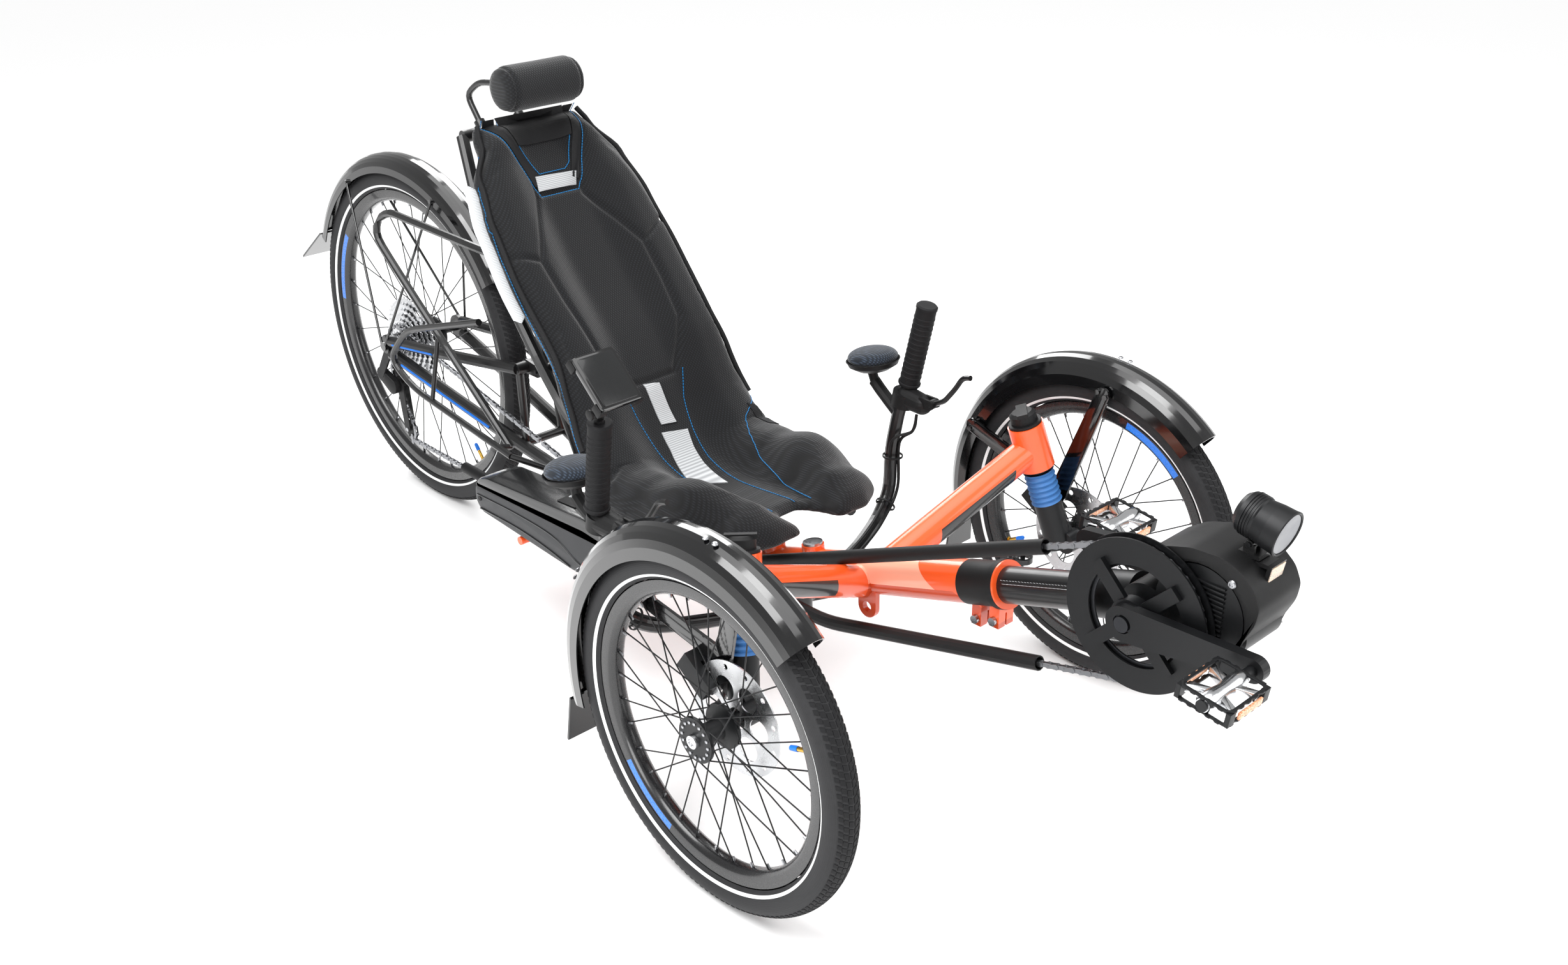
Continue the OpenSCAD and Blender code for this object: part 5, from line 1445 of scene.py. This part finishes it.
@dataclass
class Pedals:
    """Alloy pedals with toothed cages and amber reflectors."""

    tilt: float = 8.0

    def build(self) -> None:
        """Makes both pedals."""
        for body, node, side in (("pedal_r", "pedal_right", -1), ("pedal_l", "pedal_left", 1)):
            self.pedal(body, node, side)

    def cage_outline(self, half_x: float, half_y: float, teeth: int) -> list[tuple[float, float]]:
        """Outer edge of the cage, with square teeth on all four sides."""
        out = []
        corners = [(half_x, -half_y), (half_x, half_y), (-half_x, half_y), (-half_x, -half_y)]
        for (x0, y0), (x1, y1) in zip(corners, corners[1:] + corners[:1]):
            inward = (-1 if x0 == x1 == half_x else 1 if x0 == x1 else 0, -1 if y0 == y1 == half_y else 1
                      if y0 == y1 else 0)
            for k in range(teeth):
                for t, deep in ((0.12, 0), (0.5, 0), (0.6, 1.6), (0.9, 1.6)):
                    f = 0.08 + 0.84 * (k + t) / teeth
                    out.append((x0 + (x1 - x0) * f + inward[0] * deep, y0 + (y1 - y0) * f + inward[1] * deep))
        return out

    def pedal(self, body: str, node: str, side: int) -> None:
        """One pedal about its own axle."""
        centre = joint_at({"pedal_r": "pedal_right_spin", "pedal_l": "pedal_left_spin"}[body])
        centre = Vector((centre.x, side * 0.142, centre.z))
        place = facing(centre, self.tilt)
        hole = rounded(oblong(29, 34), 5)
        frames = [slab("cage", self.cage_outline(34, 39.5, 5), 2.4, place @ Matrix.Translation((0, 0, z * MM)),
                       Look.SATIN.value, 0.4, [hole])
                  for z in (-8.6, 8.6)]
        posts = [slab("post", rounded(oblong(3, 6, x, y), 1), 17, place, Look.SATIN.value)
                 for x in (-31, 31) for y in (-33, 33)]
        cage = joined("cage_" + node, frames + posts)
        put(cage, body, "black_metal", node)
        spindle = Vector((0, 1, 0))
        barrel = lathe("barrel", [(0.4, -38), (8, -38), (11, -33), (11.5, -20), (9, 0), (11.5, 20), (11, 33),
                                  (8, 38), (0.4, 38)], centre,
                       Look.ALLOY.value, 40, spindle, closed=False)
        arms = [slab("arm",
                     rounded([(x * 30, y * 24 - 5), (x * 30, y * 24 + 5), (x * 6, y * 13 + 5),
                              (x * 6, y * 13 - 5)], 1), 11, place, Look.ALLOY.value, 1.2) for x in (-1, 1)
                for y in (-1, 1)]
        put(joined("pedal_core_" + node, [barrel, *arms]), body, "bright_steel")
        ambers = [slab("amber", rounded(oblong(4.6, 22), 1), 3.0,
                       place @ Matrix.Translation((x * MM, 0, 0)) @ Matrix.Rotation(math.pi / 2, 4, "Y"),
                       Look.AMBER.value, 0.5) for x in (-34.6, 34.6)]
        put(joined("pedal_reflectors_" + node, ambers), body, "lens_clear")
        root = centre - side * spindle * 38 * MM
        neck = lathe("axle_" + node, [(0.3, 0), (7.5, 0), (7.5, 4), (5, 6), (5, 12), (0.3, 12)], root,
                     Look.STEEL.value, 24, -side * spindle, closed=False)
        put(neck, body, "bright_steel")


@dataclass
class Battery:
    """Battery pack: gloss top shell, side lines, charge bars and warning triangle."""

    middle_y: float = -167.0

    def build(self) -> None:
        """Makes the pack's shells and marks."""
        under = [(-820, 240), (-822, 214), (-806, 197), (-560, 184), (-436, 187), (-424, 206), (-424, 258),
                 (-520, 266), (-780, 248), (-812, 246)]
        top = [(-818, 243), (-806, 259), (-780, 267), (-520, 288), (-440, 282), (-423, 262), (-423, 255),
               (-520, 262), (-780, 244)]
        put(slab("battery_case_shell", rounded(under, 9), 70, across_y(at(0, self.middle_y, 0)),
                 Look.BATTERY.value, 7), "frame", "battery_case", "battery_pack")
        put(slab("battery_top_shell", rounded(top, 6), 71, across_y(at(0, self.middle_y, 0)),
                 Look.BATTERY_TOP.value, 6), "frame", "gloss_black")
        side = self.middle_y - 35.4
        for name, route in (("upper", [(-812, 228), (-700, 232), (-600, 228), (-540, 206), (-480, 196),
                                       (-430, 200)]),
                            ("lower", [(-806, 204), (-700, 206), (-620, 200), (-560, 190)])):
            line = tube("battery_line_" + name, curved([at(x, side, z) for x, z in route], 10), 1.5 * MM,
                        Look.BATTERY_TOP.value, 10)
            put(line, "frame", "gloss_black")
        slope = -math.degrees(math.atan2(21, 260))
        top_at = at(-585, self.middle_y, 284)
        panel = slab("battery_label", rounded(oblong(24, 17), 2), 1.2, facing(top_at, slope), Look.NYLON.value,
                     0.3)
        bars = [slab("bar", oblong(1.6, 3), 1.2,
                     facing(top_at + Vector((x * MM, 0.006, 0.0012 + x * 8e-5)), slope), Look.WHITE_TAPE.value)
                for x in (-17, -11, -5, 1)]
        sign = slab("battery_triangle", [(8, -7), (20, -7), (14, 5)], 1.2,
                    facing(top_at + Vector((0, 0, 0.0012)), slope), Look.YELLOW.value)
        put(panel, "frame", "black_plastic")
        put(joined("battery_bars", bars), "frame", "bright_steel")
        put(sign, "frame", "lens_clear")
        lock = lathe("battery_lock", [(0.3, 0), (7, 0), (7, 1.6), (4, 2.4), (0.3, 2.4)], at(-448, side + 1, 226),
                     Look.BOLT.value, 32, Vector((0, -1, 0)), closed=False)
        put(lock, "frame", "bolt_steel")
        pegs = [lathe("peg", [(0.3, 0), (4.4, 0), (4.4, 1.2), (0.3, 1.2)], at(x, side + 0.6, z), Look.NYLON.value,
                      20, Vector((0, -1, 0)), closed=False)
                for x, z in ((-806, 222), (-436, 246))]
        put(joined("battery_pegs", pegs), "frame", "black_plastic")


# ---------------------------------------------------------------- controls


@dataclass
class Controls:
    """Palm pads, grip ends, brake hoses and the display holder."""

    pad_at: tuple[float, float, float] = (-390, 300, 447)

    def build(self) -> None:
        """Makes what the handlebar carries."""
        for side in (-1, 1):
            self.palm_pad(side)
            self.grip(side)
            self.hose(side)
        self.display()

    def palm_pad(self, side: int) -> None:
        """Round foam pad in a spacer-mesh cover on its plastic cup."""
        label = SIDES[side]
        low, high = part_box("palm_pads")
        x, y, z = self.pad_at
        centre = at(x, side * y, z)
        tip = Vector((-math.sin(math.radians(8)), 0, math.cos(math.radians(8))))
        under = (low.z + 0.0155 - centre.z) / MM
        rise = (high.z - centre.z) / MM - 4.5
        profile = [(0, rise), (16, rise - 0.6), (30, rise - 3), (39, rise - 8), (42.6, rise - 15),
                   (40, under + 3), (30, under + 0.5), (0, under)]
        pad = lathe("palm_pad_" + label, profile, centre, Look.PALM.value, 56, tip, closed=False)
        puff(pad, 4.2, 3.0, 3.0)
        paint(pad.data, Look.PALM.value)
        put(pad, "steering", "seat_mesh", "palm_pads")
        cup = [(14, -22), (26, -19.5), (39, -12), (42.8, -5), (43.8, -5), (40.5, -13.5), (27, -21.5), (14, -24)]
        put(lathe("palm_cup_" + label, [(r, h + 4) for r, h in cup], centre, Look.NYLON.value, 56, tip),
            "steering", "black_plastic")
        welt = [centre + tip * -1.4 * MM + 43.6 * MM
                * (math.cos(a) * Vector((tip.z, 0, -tip.x)) + math.sin(a) * Vector((0, 1, 0)))
                for a in (2 * math.pi * k / 72 for k in range(72))]
        put(tube("palm_welt_" + label, welt, 0.9 * MM, Look.EDGE.value, 8, closed=True), "steering", "seat_mesh")

    def grip(self, side: int) -> None:
        """End cap with its screw, and the flange and rings of the grip."""
        label = SIDES[side]
        low, high = at(-322, side * 313, 417), at(-294, side * 319, 552)
        axis = (high - low).normalized()
        length = (high - low).length / MM
        rings = [(16.6, 2), (18.4, 3), (18.4, 6), (16.6, 7)]
        parts = [lathe("flange", rings, low, Look.RUBBER.value, 48, axis)]
        for k in range(13):
            s = 16 + k * (length - 34) / 12
            parts.append(lathe("rib", [(16.3, s), (17.1, s + 1), (17.1, s + 3.2), (16.3, s + 4.2)], low,
                               Look.RUBBER.value, 40, axis))
        cap = [(0.4, length - 1), (15, length - 1), (17.4, length), (17.4, length + 4), (15, length + 6.2),
               (0.4, length + 6.2)]
        parts.append(lathe("cap", cap, low, Look.RUBBER.value, 48, axis, closed=False))
        put(joined("grip_rings_" + label, parts), "steering", "grip_rubber")

    def hose(self, side: int) -> None:
        """Brake hose and gear cable clipped along the bar, with two ties."""
        label = SIDES[side]
        bar = [(-331, 284, 318), (-330, 281, 240), (-318, 238, 203), (-292, 172, 193), (-268, 80, 180)]
        for kind, shift, radius in (("brake", (14, 4, 6), 2.6), ("gear", (9, -10, 10), 2.2)):
            route = [(-292, 300, 378), (-296, 296, 350)] + [tuple(p + d for p, d in zip(q, shift)) for q in bar]
            points = curved([at(x, side * y, z) for x, y, z in route], 10)
            put(tube(f"{kind}_hose_{label}", points, radius * MM, Look.NYLON.value, 12), "steering",
                "black_plastic")
        ties = []
        for a, b in (((-330.5, 283, 300), (-330.3, 282, 270)), ((-324, 262, 221), (-316, 232, 201))):
            foot, tip = at(a[0], side * a[1], a[2]), at(b[0], side * b[1], b[2])
            ties.append(lathe("tie", [(15.2, 0), (17, 0.4), (17, 3.2), (15.2, 3.6)],
                              foot + Vector((0.004, 0, 0.002)), Look.NYLON.value, 32, (tip - foot).normalized()))
        put(joined("hose_ties_" + label, ties), "steering", "black_plastic")

    def display(self) -> None:
        """Thin framed display on a clamp with a ball joint and thumb wheel."""
        joint = at(-291, -322, 573)
        face = facing(at(-270, -322, 624), 42)
        frame_outline = rounded(oblong(41, 33), 6)
        bezel = slab("bezel", frame_outline, 9, face @ Matrix.Translation((0, 0, 0.0015)), Look.SHELL.value, 2.0)
        glass = slab("display_glass", rounded(oblong(36, 28), 4), 1.0, face @ Matrix.Translation((0, 0, 0.0064)),
                     Look.BATTERY_TOP.value, 0.3)
        block = slab("block", rounded(oblong(16, 20), 3), 12, face @ Matrix.Translation((0.006, 0, -0.0085)),
                     Look.NYLON.value, 2.0)
        jaws = [slab("jaw", rounded(oblong(8, 7), 1), 13, face @ Matrix.Translation((x * MM, y * MM, -0.005)),
                     Look.NYLON.value, 2.0)
                for x, y in ((-34, -28), (-34, 28), (34, -28), (34, 28))]
        stem = tube("stem", [joint, at(-283, -322, 596), at(-274, -322, 612)], [8 * MM, 6.5 * MM, 8 * MM],
                    Look.NYLON.value, 24)
        ball = lathe("ball", [(9.2 * math.sin(math.radians(a)) + 0.05, -9.2 * math.cos(math.radians(a)))
                              for a in range(0, 181, 12)], joint, Look.NYLON.value, 32,
                     closed=False)
        wheel = lathe("thumb_wheel", [(0.3, -12), (6.5, -12), (7.5, -13), (7.5, -15.5), (6.5, -16), (0.3, -16)],
                      joint, Look.NYLON.value, 14, closed=False)
        put(joined("display_holder", [bezel, block, *jaws, stem, ball, wheel]), "display", "black_plastic",
            "display_unit")
        put(glass, "display", "gloss_black")


@dataclass
class FrameDetails:
    """Blue stripes on the stays, and the fenders' bolts."""

    def build(self) -> None:
        """Makes the small trim of the frame."""
        for name, ends in (("low", ((-1225, -84, 307.5), (-975, -64.5, 254))),
                           ("high", ((-1250, -84, 340), (-1120, -78.5, 356)))):
            points = [at(*p) for p in ends]
            put(tube(f"stay_stripe_{name}", points, 4.4 * MM, Look.BLUE.value, 16, flat=0.6), "swing",
                "frame_paint")
        for side, label in ((-1, "r"), (1, "l")):
            bolts = []
            for x, z in ((26, 487), (12, 492), (-226, 359), (-219, 371)):
                out = Vector((x, 0, z - 250)).normalized()
                foot = at(0, side * 392.5, 250) + out * 282.6 * MM
                bolts.append(lathe("bolt", [(0.3, 2.4), (2.6, 2.2), (4, 1), (4.2, 0), (0.3, 0)],
                                   foot + Vector((0, side * 0.010, 0)), Look.BOLT.value, 20, out, closed=False))
            put(joined("fender_bolts_" + label, bolts), "strut_" + label, "bolt_steel")


# ---------------------------------------------------------------- stage


@dataclass
class Stage:
    """Camera, soft lights and pale floor."""

    camera_at: Vector = field(default_factory=lambda: at(1279.4, -1456.8, 1404.8))
    azimuth: float = 47.0
    elevation: float = 25.99
    roll: float = -0.7
    lens: float = 36.80

    def camera(self) -> None:
        """Sets up the camera at its measured place."""
        data = bpy.data.cameras.new("camera")
        data.sensor_width, data.lens = 36.0, self.lens
        data.clip_end = 100
        made = bpy.data.objects.new("camera", data)
        bpy.context.scene.collection.objects.link(made)
        a, e, r = (math.radians(v) for v in (self.azimuth, self.elevation, self.roll))
        back = Vector((math.sin(a) * math.cos(e), -math.cos(a) * math.cos(e), math.sin(e)))
        right = Vector((0, 0, 1)).cross(back).normalized()
        up = back.cross(right)
        right, up = math.cos(r) * right + math.sin(r) * up, math.cos(r) * up - math.sin(r) * right
        made.matrix_world = Matrix((
            (right.x, up.x, back.x, self.camera_at.x), (right.y, up.y, back.y, self.camera_at.y),
            (right.z, up.z, back.z, self.camera_at.z), (0, 0, 0, 1)))
        bpy.context.scene.camera = made

    def light(self) -> None:
        """Four soft discs of light, an even sun from above and a pale world."""
        world = bpy.data.worlds.new("studio")
        world.use_nodes = True
        world.node_tree.nodes["Background"].inputs[0].default_value = (1, 1, 1, 1)
        world.node_tree.nodes["Background"].inputs[1].default_value = 0.5
        bpy.context.scene.view_settings.view_transform = "Standard"
        bpy.context.scene.world = world
        middle = at(-350, 0, 350)
        for name, place, size, power in (("key", (-200, -1500, 2600), 2.0, 75),
                                         ("fill", (2200, 1200, 1800), 2.4, 40),
                                         ("rim", (-2200, 1300, 1900), 1.6, 45),
                                         ("side", (900, -2600, 900), 1.2, 26)):
            data = bpy.data.lights.new(name, "AREA")
            data.shape, data.size, data.energy = "DISK", size, power
            lamp = bpy.data.objects.new(name, data)
            lamp.location = at(*place)
            lamp.rotation_mode = "QUATERNION"
            lamp.rotation_quaternion = (middle - lamp.location).to_track_quat("-Z", "Y")
            bpy.context.scene.collection.objects.link(lamp)
        even = bpy.data.lights.new("ceiling", "SUN")
        even.energy, even.angle = 1.7, math.radians(60)
        bpy.context.scene.collection.objects.link(bpy.data.objects.new("ceiling", even))

    def floor(self) -> None:
        """A wide matt white floor."""
        look = bpy.data.materials.new("white_paper_floor")
        look.use_nodes = True
        look.node_tree.nodes["Principled BSDF"].inputs["Base Color"].default_value = (0.93, 0.93, 0.93, 1)
        look.node_tree.nodes["Principled BSDF"].inputs["Roughness"].default_value = 0.9
        mesh = bpy.data.meshes.new("floor")
        side = 40.0
        mesh.from_pydata([(-side, -side, 0), (side, -side, 0), (side, side, 0), (-side, side, 0)], [],
                         [(0, 1, 2, 3)])
        mesh.materials.append(look)
        made = bpy.data.objects.new("floor", mesh)
        bpy.context.scene.collection.objects.link(made)


def dress_cad_nodes() -> None:
    """Gives every CAD node its finish."""
    for name, node in frame["nodes"].items():
        paint(node.data, CAD_LOOKS[name].value)


def main() -> None:
    """Builds every sub-assembly in order."""
    logging.basicConfig(level=logging.INFO)
    stage = Stage()
    stage.camera()
    stage.light()
    stage.floor()
    dress_cad_nodes()
    parts = [
        Seat(), Headrest(),
        Wheel("right", "tyre_right", "spoked_wheel_right", "wheel_right_spin", "wheel_r", 250, -128),
        Wheel("left", "tyre_left", "spoked_wheel_left", "wheel_left_spin", "wheel_l", 250, 60, outer_side=1,
              flange=(19, -24)),
        Wheel("rear", "rear_tyre", "rear_spoked_wheel", "rear_wheel_spin", "rear_wheel", 326, 162, outer_side=1,
              flange=(-28, 20)),
        Drive(), Motor(), Pedals(), Battery(), Controls(), FrameDetails(),
    ]
    for part in parts:
        part.build()
        log.info("built %s", type(part).__name__)


if __name__ == "__main__":
    main()
